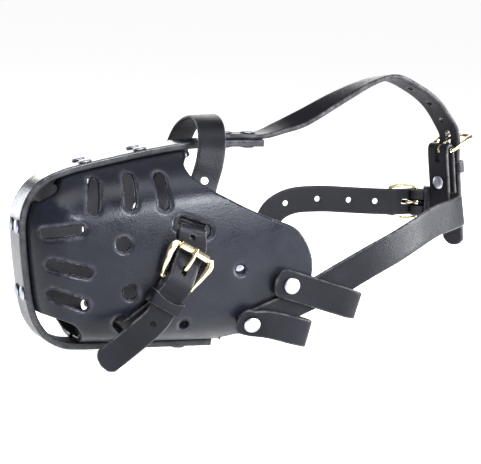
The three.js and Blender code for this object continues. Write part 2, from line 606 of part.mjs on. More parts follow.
const NOSE_STATIONS = [
  ...foldedEnd(noseSeat, STRAP_THICK, NOSE_WIDTH, 22),
  onPanel(-4.5, 29.5, STRAP_LIFT + 0.6, NOSE_WIDTH), onPanel(-11, 24.6, STRAP_LIFT, NOSE_WIDTH),
  ...throughLower,
  lowerThrough(-22, -19, 18, lowerDown.x, lowerDown.z), lowerThrough(0, -17.5, 17.6, -0.31, -0.95),
  lowerThrough(22, -19, 18, lowerDown.x, lowerDown.z),
  ...throughLower.map(across).reverse(),
  ...farSide.map(across),
  ...throughUpper.map(across),
  ...noseLeg.map(across),
  ...noseLeg.slice(0, -1).reverse(),
  ...[...throughUpper].reverse(),
  ...tongueRun(noseSeat, STRAP_THICK, NOSE_WIDTH, NOSE_LENGTH, ROLLER_RADIUS, 21),
  inPlane(-3.4, 28.6, 58.6, NOSE_WIDTH), inPlane(-14.4, 19, 58.6, NOSE_WIDTH),
  inPlane(-26, 9.8, 58.4, NOSE_WIDTH),
  inPlane(-36, 2.2, 58.2, NOSE_WIDTH), inPlane(-40.4, -1.2, 58.2, 16), inPlane(-42.8, -3.2, 58.2, 8),
];
addPiece('nose_strap', cut(strap(NOSE_STATIONS, STRAP_THICK), [
  foldSlot(noseSeat, STRAP_THICK), ...prongClearance(NOSE_PRONG, noseSeat),
  punch(vec(-6.6, -58.6, 25), vec(0, 1, 0), 2.2, 3.2),
  punch(vec(36, -38.6, 122.3), vec(0.25, 1, -0.2), 2.8, 4),
]), LEATHER);
buckle('nose', noseSeat, 12.6, 15.6, NOSE_LENGTH, NOSE_PRONG);
addPiece('nose_buckle_roller', sleeve(WIRE + 0.35, ROLLER_RADIUS, 26).translate(0, NOSE_LENGTH, 0)
  .applyMatrix4(noseSeat), BRASS);
keeper('nose_keeper', noseSeat, NOSE_WIDTH / 2 + 1.2, -foldRadius(STRAP_THICK) - STRAP_THICK / 2 - GAP,
  -foldRadius(STRAP_THICK) + 2.5 * STRAP_THICK + 1.3 + GAP, -10.8, -20.6);

// ---- neck strap: left half round the back to the buckle, right half with the tongue ----
const collarSeat = seatAt(vec(236.5, 35.5, 97), vec(-0.93, 0.37, 0), vec(0.37, 0.93, 0));
const COLLAR_FRAME = 21;
const REAR_LEAN = THREE.MathUtils.degToRad(8);
const rearOut = vec(0.9325 * Math.cos(REAR_LEAN), 0.361 * Math.cos(REAR_LEAN), Math.sin(REAR_LEAN));
const rearUp = vec(-0.9325 * Math.sin(REAR_LEAN), -0.361 * Math.sin(REAR_LEAN), Math.cos(REAR_LEAN));
const rearMiddle = vec(250.5, 16.5, 96.3);
const rearPoint = (up, out) => rearMiddle.clone().addScaledVector(rearUp, up).addScaledVector(rearOut, out);
const rearSide = (step) => rearMiddle.clone().add(vec(-0.361, 0.9325, 0).multiplyScalar(step));
const neck = (x, z, w, fx, fy, fz = 0, width = COLLAR_WIDTH) => ({ at: vec(x, -w, z), face: vec(fx, fy, fz), width });
const anchored = [
  onPanel(59, 22.6, ANCHOR_LIFT, 9), onPanel(63.5, 23.8, ANCHOR_LIFT, 16), onPanel(78, 27.8, ANCHOR_LIFT, 18),
];
const COLLAR_STATIONS = [
  ...anchored,
  neck(98, 35, 56, 0, -1, 0, 19.5), neck(113, 42, 56, 0, -1, 0, 21), neck(134, 52.6, 56.2, 0, -1),
  neck(157, 64.8, 56, 0.1, -1), neck(180, 75, 51.5, 0.3, -1, 0.05), neck(200, 83.5, 43.5, 0.5, -0.9, 0.08),
  neck(221, 90.5, 31, 0.6, -0.8, 0.1),
  neck(241.5, 94, 18, 0.8, -0.6, 0.13), neck(253.5, 95.6, 7, 0.85, -0.45, 0.14),
  ...[[-15.5, 23], [-10.5, 23], [0, 23], [8, 22], [10.8, 21], [13.5, 20]].map(([step, width]) => (
    { at: rearSide(step), face: rearOut, width })),
  ...foldedEnd(collarSeat, COLLAR_THICK, 20, 10).slice(0, -1).reverse().slice(1),
];
const farNeck = (x, z, w, width = 20) => neck(x, z, -w, 0.12, 1, 0, width);
const TONGUE_STATIONS = [
  ...anchored.map(across),
  neck(92, 31.5, -55.8, 0, 1, 0, 19), neck(104, 36.8, -56, 0, 1, 0, 19), neck(112.5, 45, -56, 0, 1, 0, 20),
  neck(118.2, 58, -56, 0, 1, 0, 20), neck(120.5, 73, -55.8, 0, 1, 0, 20), farNeck(125.5, 88, 55),
  farNeck(138.5, 96.2, 53.4), farNeck(160, 98.6, 50.2), farNeck(183, 98, 46.4), farNeck(198, 97.4, 43.4),
  ...tongueRun(collarSeat, COLLAR_THICK, 20, COLLAR_FRAME, WIRE, 12.5),
];
const TONGUE_HOLES = [[135.2, 95], [159.7, 98.6], [184, 98], [205, 97.2]];
addPiece('collar_strap', cut(strap(COLLAR_STATIONS, COLLAR_THICK), [
  foldSlot(collarSeat, COLLAR_THICK),
  punch(loopRivetAxis('lower').at, loopRivetAxis('lower').direction, SHANK_HOLE, 9),
]), LEATHER);
const rightRivet = across({ ...panelPoint(...LOOP_RIVETS.lower), width: 0 });
addPiece('collar_tongue', cut(strap(TONGUE_STATIONS, COLLAR_THICK), [
  punch(rightRivet.at, rightRivet.face, SHANK_HOLE, 9), ...prongClearance(COLLAR_PRONG, collarSeat),
  ...TONGUE_HOLES.map(([x, z]) => punch(vec(x, 50, z), vec(0.12, 1, 0), 2.2, 9)),
]), LEATHER);
buckle('collar', collarSeat, 11.9, 11.9, COLLAR_FRAME, COLLAR_PRONG);
keeper('collar_keeper', collarSeat, 11, -foldRadius(COLLAR_THICK) - COLLAR_THICK / 2 - 0.8,
  foldRadius(COLLAR_THICK) + 1.5 * COLLAR_THICK, -5.4, -9.6);

// ---- band between the neck strap and the upper buckle ----
const CONNECTOR_TOP = 44;
const CONNECTOR_BOTTOM = -12.3;
const CONNECTOR_RIVET = 19;      // height of the rivet that closes the band
const CROWN_REACH = 23;
const connectorRadius = foldRadius(STRAP_THICK);
const crownSeat = seatAt(rearPoint(CONNECTOR_TOP, 0), rearOut.clone().multiplyScalar(23.4).addScaledVector(rearUp, 7.6),
  rearUp);
function connector() {
  const ring = (radius) => slotOutline([0, CONNECTOR_BOTTOM], [0, CONNECTOR_TOP], radius);
  const band = cut(prism(ring(connectorRadius + STRAP_THICK / 2), -10, 10),
    [prism(ring(connectorRadius - STRAP_THICK / 2), -12, 12)]);
  const side = rearUp.clone().cross(rearOut);
  const seat = new THREE.Matrix4().makeBasis(rearOut, side, rearUp).setPosition(rearMiddle);
  const hole = punch(vec(0, 0, CONNECTOR_RIVET), vec(1, 0, 0), SHANK_HOLE, 3 * connectorRadius);
  return cut(cut(band, [hole]).applyMatrix4(seat), [foldSlot(crownSeat, STRAP_THICK)]);
}
addPiece('connector', connector(), LEATHER);
rivet('rivet_connector', rearPoint(CONNECTOR_RIVET, 0), rearOut.clone().negate(),
  2 * connectorRadius + STRAP_THICK, RIVET_CAP);
const CROWN_PRONG = [[2.4, 0.6], [8, 2.6], [14, 3.2], [25, 3.1]];
buckle('crown', crownSeat, 12.6, 12.6, CROWN_REACH, CROWN_PRONG);

// ---- the strap over the head, riveted on the strip's tail ----
const crown = (x, y, z, fx, fy, fz, width = CROWN_WIDTH) => (
  { at: vec(x, y, z), face: vec(fx, fy, fz), width });
const rearCrown = (up, out, width = CROWN_WIDTH) => ({ at: rearPoint(up, out), face: rearOut, width });
const CROWN_STATIONS = [
  crown(50, 0, crownZ, 0, 0, 1, 12), crown(54, 0, crownZ, 0, 0, 1), crown(72, 0, crownZ, 0, 0, 1),
  crown(92, 0, crownZ + 0.6, -0.05, -0.04, 1), crown(107, 0.5, 156.6, -0.35, -0.22, 1),
  crown(123, 1, 162.8, -0.42, -0.42, 0.85), crown(153.8, 3.5, 178.8, -0.45, -0.25, 0.85),
  crown(181.4, 7.5, 190.8, -0.22, 0.04, 0.97), crown(199, 10.5, 193.6, 0.05, 0.16, 1),
  crown(217.7, 14, 186.6, 0.6, 0.24, 0.78), crown(235.4, 17, 175.6, 0.75, 0.3, 0.62),
  crown(247, 18.6, 162.4, 0.86, 0.33, 0.4), rearCrown(54, 10.4), rearCrown(46, 9.8), rearCrown(34, 9.2),
  rearCrown(10, 8.8), rearCrown(-12, 8.8), rearCrown(-27, 8.8, 17), rearCrown(-32, 8.8, 8),
];
const CROWN_HOLES = [9, 10, 11, 14.7, 15.7];
const station = (stations, k) => strapStation(stations, k / (stations.length - 1));

function crownStrap() {
  const holes = CROWN_HOLES.map((k) => {
    const { at, face } = station(CROWN_STATIONS, k);
    return punch(at, face, 2.2, 4);
  });
  const rivets = FOREHEAD_RIVETS.map((x) => punch(vec(x, 0, crownZ), vec(0, 0, 1), SHANK_HOLE));
  const prongRoom = prongClearance(CROWN_PRONG, crownSeat, -FRAME_TIP);
  return cut(strap(CROWN_STATIONS, CROWN_THICK), [...holes, ...rivets, ...prongRoom]);
}
addPiece('crown_strap', crownStrap(), LEATHER);
FOREHEAD_RIVETS.forEach((x, i) => {
  const grip = SPINE_THICK + GAP + CROWN_THICK;
  rivet(`rivet_forehead_${i + 1}`, vec(x, 0, crownZ - GAP / 2 - SPINE_THICK / 2), vec(0, 0, 1), grip,
    BIG_RIVET_CAP);
});
const keeperSeat = seatAt(rearPoint(34, 9.2), rearUp, rearOut);
keeper('crown_keeper', keeperSeat, CROWN_WIDTH / 2 + 0.6, -CROWN_THICK / 2 - 0.6, CROWN_THICK / 2 + 0.6, -9, 0);

export default muzzle;
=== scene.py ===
"""Black leather basket muzzle: detailed leather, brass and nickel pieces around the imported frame."""
import math

import bmesh
import bpy
import numpy as np
from mathutils import Matrix, Vector


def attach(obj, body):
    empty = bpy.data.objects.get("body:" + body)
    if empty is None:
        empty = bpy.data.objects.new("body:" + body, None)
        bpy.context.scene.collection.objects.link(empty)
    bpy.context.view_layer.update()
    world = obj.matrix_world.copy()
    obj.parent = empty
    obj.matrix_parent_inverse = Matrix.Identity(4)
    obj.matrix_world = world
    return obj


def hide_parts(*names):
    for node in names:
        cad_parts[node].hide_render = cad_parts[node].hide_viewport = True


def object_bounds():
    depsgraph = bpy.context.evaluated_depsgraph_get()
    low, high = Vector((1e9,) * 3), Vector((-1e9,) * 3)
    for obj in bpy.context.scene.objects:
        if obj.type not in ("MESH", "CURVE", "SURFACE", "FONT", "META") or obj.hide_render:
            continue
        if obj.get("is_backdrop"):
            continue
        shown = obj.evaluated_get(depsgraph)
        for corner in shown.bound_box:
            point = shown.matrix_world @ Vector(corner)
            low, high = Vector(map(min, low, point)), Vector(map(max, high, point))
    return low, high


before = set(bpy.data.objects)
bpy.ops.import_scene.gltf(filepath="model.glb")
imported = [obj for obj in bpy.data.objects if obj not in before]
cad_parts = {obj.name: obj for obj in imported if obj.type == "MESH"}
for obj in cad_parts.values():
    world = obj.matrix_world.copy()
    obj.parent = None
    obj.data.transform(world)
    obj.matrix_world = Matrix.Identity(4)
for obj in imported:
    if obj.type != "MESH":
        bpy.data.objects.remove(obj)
cad_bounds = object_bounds()
MM = 0.001

# ---- driving dimensions, in millimetres as in the CAD model ----
GAP = 0.4
SPINE_WIDTH, SPINE_THICK = 28, 5
PANEL_THICK, TAB_FROM, TAB_TO = 4, 2.5, 11
HALF_WIDTH_REAR, HALF_WIDTH_LOSS = 54, 20
ROUND_TOP, ROUND_FRONT, ROUND_BOTTOM = 34, 22, 30
STRAP_THICK, NOSE_WIDTH = 2.6, 20
COLLAR_WIDTH, COLLAR_THICK = 23, 3
CROWN_WIDTH, CROWN_THICK = 20, 3.6
LOOP_THICK = 3
VENT_RADIUS = 3.4
RIVET_CAP, BIG_RIVET_CAP = 5, 5.8
WIRE, ROLLER_RADIUS = 1.5, 2.9
VOXEL = 0.8                      # grain of the moulded panels' remesh


def vec(x, y, z):
    return np.array([x, y, z], float)


def unit(v):
    return v / np.linalg.norm(v)


def mirror(v):
    return v * vec(1, -1, 1)


# ---- curves ----
def catmull(points, per_span):
    """Centripetal Catmull-Rom curve through the points: positions, tangents and span numbers."""
    points = np.array(points, float)
    before = 2 * points[0] - points[1]
    after = 2 * points[-1] - points[-2]
    p = np.vstack([before, points, after])
    out, slopes, places = [], [], []
    for i in range(len(points) - 1):
        x0, x1, x2, x3 = p[i:i + 4]
        d0, d1, d2 = (max(np.linalg.norm(b - a), 1e-6) ** 0.5 for a, b in ((x0, x1), (x1, x2), (x2, x3)))
        t1 = ((x1 - x0) / d0 - (x2 - x0) / (d0 + d1) + (x2 - x1) / d1) * d1
        t2 = ((x2 - x1) / d1 - (x3 - x1) / (d1 + d2) + (x3 - x2) / d2) * d1
        c2 = -3 * x1 + 3 * x2 - 2 * t1 - t2
        c3 = 2 * x1 - 2 * x2 + t1 + t2
        last = i == len(points) - 2
        for w in np.linspace(0, 1, per_span + 1)[: None if last else -1]:
            out.append(x1 + t1 * w + c2 * w * w + c3 * w ** 3)
            slopes.append(unit(t1 + 2 * c2 * w + 3 * c3 * w * w))
            places.append(i + w)
    return np.array(out), np.array(slopes), np.array(places)


def smooth(f):
    return f * f * (3 - 2 * f)


def smooth_faces(faces, places):
    """Face directions along a strap: linear between stations, then averaged so that no kink shows."""
    faces = np.array([unit(f) for f in faces])
    out = []
    for place in places:
        total = np.zeros(3)
        for shift, weight in ((-0.45, 1), (-0.22, 2), (0, 3), (0.22, 2), (0.45, 1)):
            at = min(max(place + shift, 0), len(faces) - 1)
            k = min(len(faces) - 2, int(at))
            total += weight * ((1 - at + k) * faces[k] + (at - k) * faces[k + 1])
        out.append(total / 9)
    return out


def at_place(stations, place):
    """Position and face direction of a strap at a fractional station number."""
    points, slopes, places = catmull([s[0] for s in stations], 20)
    i = int(np.argmin(np.abs(places - place)))
    face = smooth_faces([s[1] for s in stations], [place])[0]
    return points[i], unit(face - slopes[i] * face.dot(slopes[i]))


# ---- mesh helpers ----
def make_object(name, vertices, faces, sharp=35):
    mesh = bpy.data.meshes.new(name)
    mesh.from_pydata([tuple(np.array(v) * MM) for v in vertices], [], faces)
    clean = bmesh.new()
    clean.from_mesh(mesh)
    bmesh.ops.recalc_face_normals(clean, faces=clean.faces)
    clean.to_mesh(mesh)
    clean.free()
    obj = bpy.data.objects.new(name, mesh)
    bpy.context.scene.collection.objects.link(obj)
    shade(obj, sharp)
    return obj


def shade(obj, sharp=35):
    obj.data.polygons.foreach_set("use_smooth", [True] * len(obj.data.polygons))
    obj.data.set_sharp_from_angle(angle=math.radians(sharp))


def apply_modifiers(obj):
    graph = bpy.context.evaluated_depsgraph_get()
    done = bpy.data.meshes.new_from_object(obj.evaluated_get(graph))
    obj.modifiers.clear()
    old = obj.data
    obj.data = done
    bpy.data.meshes.remove(old)


def cut(obj, cutters, sharp=35):
    """Cuts closed tool objects out of obj and removes the tools."""
    if not cutters:
        return obj
    for tool in cutters:
        step = obj.modifiers.new("cut", "BOOLEAN")
        step.object = tool
        step.solver = "EXACT"
    apply_modifiers(obj)
    for tool in cutters:
        bpy.data.objects.remove(tool)
    shade(obj, sharp)
    return obj


def lathe(name, profile, at, axis, segments=40, closed=False):
    """Turns (radius, height) points round an axis; an open profile starts and ends on the axis."""
    axis = unit(axis)
    side = unit(np.cross(axis, vec(0, 0, 1) if abs(axis[2]) < 0.9 else vec(1, 0, 0)))
    other = np.cross(axis, side)
    vertices, faces, rings = [], [], []
    for radius, height in profile:
        if radius < 1e-6:
            rings.append([len(vertices)])
            vertices.append(at + axis * height)
            continue
        rings.append(list(range(len(vertices), len(vertices) + segments)))
        for k in range(segments):
            a = 2 * math.pi * k / segments
            vertices.append(at + axis * height + radius * (side * math.cos(a) + other * math.sin(a)))
    pairs = list(zip(rings, rings[1:])) + ([(rings[-1], rings[0])] if closed else [])
    for a, b in pairs:
        for k in range(segments):
            n = (k + 1) % segments
            if len(a) == 1:
                faces.append((a[0], b[k], b[n]))
            elif len(b) == 1:
                faces.append((a[k], b[0], a[n]))
            else:
                faces.append((a[k], b[k], b[n], a[n]))
    return make_object(name, vertices, faces)


def punch_tool(at, direction, radius, thickness, lip=0.35, reach=4):
    """A hole cutter with a flare at each face of the leather."""
    half = thickness / 2
    profile = [(0, -half - reach), (radius + lip + 0.3, -half - reach), (radius + lip + 0.3, -half - 0.3),
               (radius + lip, -half), (radius, -half + lip), (radius, half - lip), (radius + lip, half),
               (radius + lip + 0.3, half + 0.3), (radius + lip + 0.3, half + reach), (0, half + reach)]
    return lathe("tool", profile, at, direction, 24)


def box_tool(seat, size):
    corners = [vec(x, y, z) * np.array(size) / 2 for x in (-1, 1) for y in (-1, 1) for z in (-1, 1)]
    faces = [(0, 1, 3, 2), (4, 6, 7, 5), (0, 4, 5, 1), (2, 3, 7, 6), (0, 2, 6, 4), (1, 5, 7, 3)]
    return make_object("tool", [placed(seat, c) for c in corners], faces)


# ---- straps ----
def strap_section(half_width, half_thick, corner, crown):
    """Rounded-rectangle section: (side, face) points, with the wide faces very slightly crowned."""
    points = []
    for quadrant, (cs, cf) in enumerate(((1, 1), (-1, 1), (-1, -1), (1, -1))):
        for k in range(5):
            a = math.pi / 2 * (quadrant + k / 4)
            points.append((cs * (half_width - corner) + corner * math.cos(a),
                           cf * (half_thick - corner) + corner * math.sin(a)))
        if quadrant in (0, 2):
            for f in (0.75, 0.35, 0, -0.35, -0.75):
                points.append((cs * f * (half_width - corner), cf * (half_thick + crown * (1 - f * f))))
    return points


def sweep(name, stations, thickness, tips=(0, 0), per_span=7, corner=0.42, crown=0.0, closed=False):
    """A leather strap through stations (position, face direction, width), with rounded tips."""
    points, slopes, places = catmull([s[0] for s in stations], per_span)
    turned_faces = smooth_faces([s[1] for s in stations], places)
    length = np.concatenate([[0], np.cumsum(np.linalg.norm(np.diff(points, axis=0), axis=1))])
    vertices, edge, flesh = [], [], []
    for point, slope, place, run, face in zip(points, slopes, places, length, turned_faces):
        k = min(len(stations) - 2, int(place))
        f = place - k
        face = unit(face - slope * face.dot(slope))
        side = np.cross(slope, face)
        width = (1 - f) * stations[k][2] + f * stations[k + 1][2]
        for tip, distance in zip(tips, (run, length[-1] - run)):
            if tip and distance < tip:
                width = min(width, width * math.sqrt(max(0, 1 - (1 - distance / tip) ** 2)) + 1.6)
        for s, h in strap_section(width / 2, thickness / 2, corner * thickness, crown):
            vertices.append(point + side * s + face * h)
            edge.append(1.0 if abs(s) > width / 2 - 0.3 * thickness else 0.0)
            flesh.append(0.6 if h < 0 else 0.0)
    ring = len(strap_section(1, 1, 0.4, 0))
    rings = len(points)
    faces = []
    for i in range(rings if closed else rings - 1):
        j = (i + 1) % rings
        faces += [(i * ring + k, j * ring + k, j * ring + (k + 1) % ring, i * ring + (k + 1) % ring)
                  for k in range(ring)]
    if not closed:
        faces += [tuple(range(ring)), tuple((rings - 1) * ring + k for k in range(ring))]
    obj = make_object(name, vertices, faces)
    for label, values in (("edge", edge), ("flesh", flesh)):
        obj.data.attributes.new(label, "FLOAT", "POINT").data.foreach_set("value", values)
    return obj


# ---- materials ----
def nodes_of(name):
    material = bpy.data.materials.new(name)
    material.use_nodes = True
    tree = material.node_tree
    shader = tree.nodes["Principled BSDF"]
    coords = tree.nodes.new("ShaderNodeTexCoord")

    def node(kind, **values):
        made = tree.nodes.new("ShaderNode" + kind)
        for key, value in values.items():
            if key in made.inputs:
                made.inputs[key].default_value = value
            else:
                setattr(made, key, value)
        return made

    def noise(scale, detail=4, rough=0.55, stretch=None):
        made = node("TexNoise", Scale=scale, Detail=detail, Roughness=rough)
        source = coords.outputs["Object"]
        if stretch:
            mapping = node("Mapping", Scale=stretch)
            tree.links.new(source, mapping.inputs["Vector"])
            source = mapping.outputs["Vector"]
        tree.links.new(source, made.inputs["Vector"])
        return made.outputs["Fac"]

    return material, tree, shader, node, noise, coords


def ramp(node, tree, source, low, high, out_low, out_high):
    made = node("MapRange")
    for key, value in (("From Min", low), ("From Max", high), ("To Min", out_low), ("To Max", out_high)):
        made.inputs[key].default_value = value
    tree.links.new(source, made.inputs["Value"])
    return made.outputs["Result"]


def blend_colours(node, tree, factor, first, second):
    made = node("Mix", data_type="RGBA")
    tree.links.new(factor, made.inputs[0])
    for socket, colour in ((made.inputs[6], first), (made.inputs[7], second)):
        if hasattr(colour, "links"):
            tree.links.new(colour, socket)
        else:
            socket.default_value = (*colour, 1)
    return made.outputs[2]


def belly_bump(node, tree, coords, belly):
    """The soft swell that moulding leaves in a panel: normals tip up above its middle, down below."""
    split = node("SeparateXYZ")
    tree.links.new(coords.outputs["Object"], split.inputs[0])
    lower = node("Math", operation="SUBTRACT")
    lower.inputs[1].default_value = 0.065
    tree.links.new(split.outputs["Z"], lower.inputs[0])
    square = node("Math", operation="POWER")
    square.inputs[1].default_value = 2
    absolute = node("Math", operation="ABSOLUTE")
    tree.links.new(lower.outputs[0], absolute.inputs[0])
    tree.links.new(absolute.outputs[0], square.inputs[0])
    scaled = node("Math", operation="MULTIPLY")
    scaled.inputs[1].default_value = -belly
    tree.links.new(square.outputs[0], scaled.inputs[0])
    bump = node("Bump", Strength=1.0, Distance=1.0)
    tree.links.new(scaled.outputs[0], bump.inputs["Height"])
    return bump.outputs["Normal"]


FLESH_COLOUR = (0.014, 0.0135, 0.0155)


def leather(name, base, worn, rubbed_edge_and_rim_highlight_colour, rough, grain_depth, pore_scale, specular, belly=0.0):
    """Dyed leather: mottled colour, worn edges (on the panels, rubbed rims and a painted highlight round the
    openings), pores and creases in the bump, uneven gloss.
    """
    material, tree, shader, node, noise, coords = nodes_of(name)
    mottle = ramp(node, tree, noise(28, 5), 0.35, 0.7, 0, 1)
    colour = blend_colours(node, tree, mottle, base, worn)
    # lighter edge colour: worn strap edges; on the panels, rubbed rims with a painted highlight round the
    # openings
    edge = node("Attribute", attribute_name="edge")
    scuff = ramp(node, tree, noise(160, 6, 0.7), 0.42, 0.62, 0.15, 1)
    amount = node("Math", operation="MULTIPLY")
    tree.links.new(edge.outputs["Fac"], amount.inputs[0])
    tree.links.new(scuff, amount.inputs[1])
    colour = blend_colours(node, tree, amount.outputs[0], colour, rubbed_edge_and_rim_highlight_colour)
    flesh = node("Attribute", attribute_name="flesh")
    colour = blend_colours(node, tree, flesh.outputs["Fac"], colour, FLESH_COLOUR)
    tree.links.new(colour, shader.inputs["Base Color"])
    shader.inputs["Specular IOR Level"].default_value = specular
    gloss = ramp(node, tree, noise(34, 6, 0.6), 0.3, 0.7, rough - 0.08, rough + 0.14)
    matt = node("Math", operation="MULTIPLY_ADD")
    matt.inputs[1].default_value = 0.4
    tree.links.new(flesh.outputs["Fac"], matt.inputs[0])
    tree.links.new(gloss, matt.inputs[2])
    tree.links.new(matt.outputs[0], shader.inputs["Roughness"])
    pores = node("TexVoronoi", Scale=pore_scale)
    tree.links.new(coords.outputs["Object"], pores.inputs["Vector"])
    pore_height = ramp(node, tree, pores.outputs["Distance"], 0.0, 0.6, 0, 1)
    wrinkles = noise(420, 6, 0.65)
    height = node("Math", operation="MULTIPLY_ADD")
    height.inputs[1].default_value = 1.4
    tree.links.new(wrinkles, height.inputs[0])
    tree.links.new(pore_height, height.inputs[2])
    bump = node("Bump", Strength=0.5, Distance=grain_depth)
    tree.links.new(height.outputs[0], bump.inputs["Height"])
    tree.links.new(bump.outputs["Normal"], shader.inputs["Normal"])
    if belly:
        swell = belly_bump(node, tree, coords, belly)
        tree.links.new(swell, bump.inputs["Normal"])
    return material


def metal(name, base, tarnish, rough, scratch):
    """Plated metal: fine scratches, slightly uneven colour and gloss."""
    material, tree, shader, node, noise, coords = nodes_of(name)
    stain = ramp(node, tree, noise(180, 5), 0.42, 0.72, 0, 0.55)
    tree.links.new(blend_colours(node, tree, stain, base, tarnish), shader.inputs["Base Color"])
    gloss = ramp(node, tree, noise(700, 5), 0.3, 0.7, rough - 0.06, rough + 0.12)
    tree.links.new(gloss, shader.inputs["Roughness"])
    bump = node("Bump", Strength=0.25, Distance=scratch)
    tree.links.new(noise(1400, 4, 0.6, (1, 0.15, 1)), bump.inputs["Height"])
    tree.links.new(bump.outputs["Normal"], shader.inputs["Normal"])
    shader.inputs["Metallic"].default_value = 1
    return material


# the panels' lighter edge colour lies on the rims of the openings: rubbed leather and a painted highlight
PANEL_LEATHER = leather("panel_leather", base=(0.0040, 0.0044, 0.0078), worn=(0.009, 0.0098, 0.0155),
                        rubbed_edge_and_rim_highlight_colour=(0.055, 0.055, 0.068), rough=0.28, grain_depth=0.00010,
                        pore_scale=900, specular=0.22, belly=2.4)
STRIP_LEATHER = leather("strip_leather", base=(0.005, 0.0052, 0.0075), worn=(0.011, 0.0115, 0.015),
                        rubbed_edge_and_rim_highlight_colour=(0.05, 0.05, 0.055), rough=0.17, grain_depth=0.00008,
                        pore_scale=800, specular=0.30)
STRAP_LEATHER = leather("strap_leather", base=(0.0038, 0.0038, 0.0056), worn=(0.008, 0.008, 0.011),
                        rubbed_edge_and_rim_highlight_colour=(0.06, 0.058, 0.06), rough=0.33, grain_depth=0.00014,
                        pore_scale=1100, specular=0.12)
BRASS = metal("buckle_brass", (0.83, 0.72, 0.47), (0.55, 0.43, 0.22), 0.14, 0.00002)
NICKEL = metal("rivet_nickel", (0.40, 0.41, 0.46), (0.27, 0.28, 0.32), 0.36, 0.00004)
SLOTS = {"panel_leather": PANEL_LEATHER, "strip_leather": STRIP_LEATHER, "strap_leather": STRAP_LEATHER,
         "buckle_brass": BRASS, "rivet_nickel": NICKEL}


def finish_piece(obj, node_names, slot, body="basket"):
    obj.data.materials.clear()
    obj.data.materials.append(SLOTS[slot])
    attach(obj, body)
    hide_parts(*([node_names] if isinstance(node_names, str) else node_names))
    return obj


# ---- centre strip ----
SPINE_LINE = [
    (93, 146.4), (60, 146.2), (32, 144.6), (16, 142.4), (-24, 134.4), (-60, 125.4), (-74, 118.6),
    (-83.6, 107.6), (-87.8, 94), (-87.4, 76), (-84.8, 54), (-81.6, 34), (-77, 20.5), (-68.4, 9.6),
    (-56, 3.6), (-44, 2.5), (-30, 2.5), (5, 2.5), (59, 2.5)]
spine_points, spine_slopes, _ = catmull([(x, 0, z) for x, z in SPINE_LINE], 8)
spine_inward = np.stack([-spine_slopes[:, 2], 0 * spine_slopes[:, 0], spine_slopes[:, 0]], axis=1)


def nearest_on_spine(x, z):
    """Nearest points of the strip's middle line for arrays x, z: place, distance and inward direction."""
    x, z = np.atleast_1d(x).astype(float), np.atleast_1d(z).astype(float)
    a, b = spine_points[:-1], spine_points[1:]
    span = b - a
    rel_x = x[:, None] - a[None, :, 0]
    rel_z = z[:, None] - a[None, :, 2]
    f = np.clip((rel_x * span[:, 0] + rel_z * span[:, 2]) / (span ** 2).sum(1), 0, 1)
    dx, dz = rel_x - f * span[:, 0], rel_z - f * span[:, 2]
    distance = np.hypot(dx, dz)
    best = distance.argmin(1)
    rows = np.arange(len(x))
    part = f[rows, best][:, None]
    near = a[best] + part * span[best]
    inward = spine_inward[best] * (1 - part) + spine_inward[best + 1] * part
    return near, distance[rows, best], inward / np.linalg.norm(inward, axis=1)[:, None]


def half_width(x, z):
    near, distance, _ = nearest_on_spine(x, z)
    depth = np.maximum(0, distance - SPINE_THICK / 2 - GAP)
    upper = near[:, 2] > 60
    to_top = smooth(np.clip((near[:, 0] + 84) / 24, 0, 1)) * upper
    to_bottom = smooth(np.clip((near[:, 0] + 80) / 24, 0, 1)) * ~upper
    radius = ROUND_FRONT + to_top * (ROUND_TOP - ROUND_FRONT) + to_bottom * (ROUND_BOTTOM - ROUND_FRONT)
    rise = np.sqrt(1 - (1 - np.clip(depth / radius, 0, 1)) ** 2)
    side = HALF_WIDTH_REAR - HALF_WIDTH_LOSS * np.clip((116 - np.atleast_1d(x)) / 200, 0, 1) ** 2.2
    return TAB_TO + (side - TAB_TO) * rise


def panel_point(x, z, lift=0):
    step = 1.5
    dx = (half_width(x + step, z) - half_width(x - step, z))[0] / (2 * step)
    dz = (half_width(x, z + step) - half_width(x, z - step))[0] / (2 * step)
    face = unit(vec(-dx, -1, -dz))
    return vec(x, -half_width(x, z)[0], z) + face * lift, face


def centre_strip():
    stations = [(vec(x, 0, z), None, SPINE_WIDTH) for x, z in SPINE_LINE]
    _, slopes, places = catmull([s[0] for s in stations], 1)
    stations = [(s[0], vec(t[2], 0, -t[0]), s[2]) for s, t in zip(stations, slopes)]
    strip = sweep("strip_band", stations, SPINE_THICK, tips=(3, 2), per_span=10, corner=0.24)
    return finish_piece(strip, "centre_strip", "strip_leather")


# ---- moulded side panels ----
PANEL_RIBS = [
    ((31, 141.5), (27, 140)), ((16, 139.5), (22, 134)), ((4, 137), (24, 127)), ((-12, 134), (31, 121)),
    ((-32, 129), (43, 114.5)), ((-52, 124), (61, 105.5)), ((-70, 117), (80, 97.5)), ((-82, 102), (100, 90)),
    ((-85, 84), (109, 80)), ((-83, 62), (113.6, 69)), ((-80, 42), (114.2, 57)), ((-75, 24), (111.4, 46)),
    ((-62, 9), (103, 35)), ((-38, 5.5), (89, 25)), ((-10, 5.5), (74, 16.5)), ((25, 5.5), (61, 11)),
    ((54, 5.5), (55, 8))]
VENTS = [((-42.5, 120), (-45, 103.4)), ((-18.6, 123.6), (-19.4, 106.2)), ((2.2, 124.4), (4, 106.2)),
         ((-75.6, 85.6), (-54.6, 88.8)), ((-71.5, 63.8), (-48.3, 59)), ((-70.3, 43), (-50.3, 36.2))]
RIGHT_VENTS = [((-42.5, 120), (-45, 103.4)), ((-29.6, 121.6), (-30.4, 104.4)), ((-7.4, 124.2), (-6, 106.2)),
               ((-75.6, 85.6), (-54.6, 88.8)), ((-71.5, 71.6), (-48.3, 66.8)), ((-70.3, 51), (-50.3, 45))]
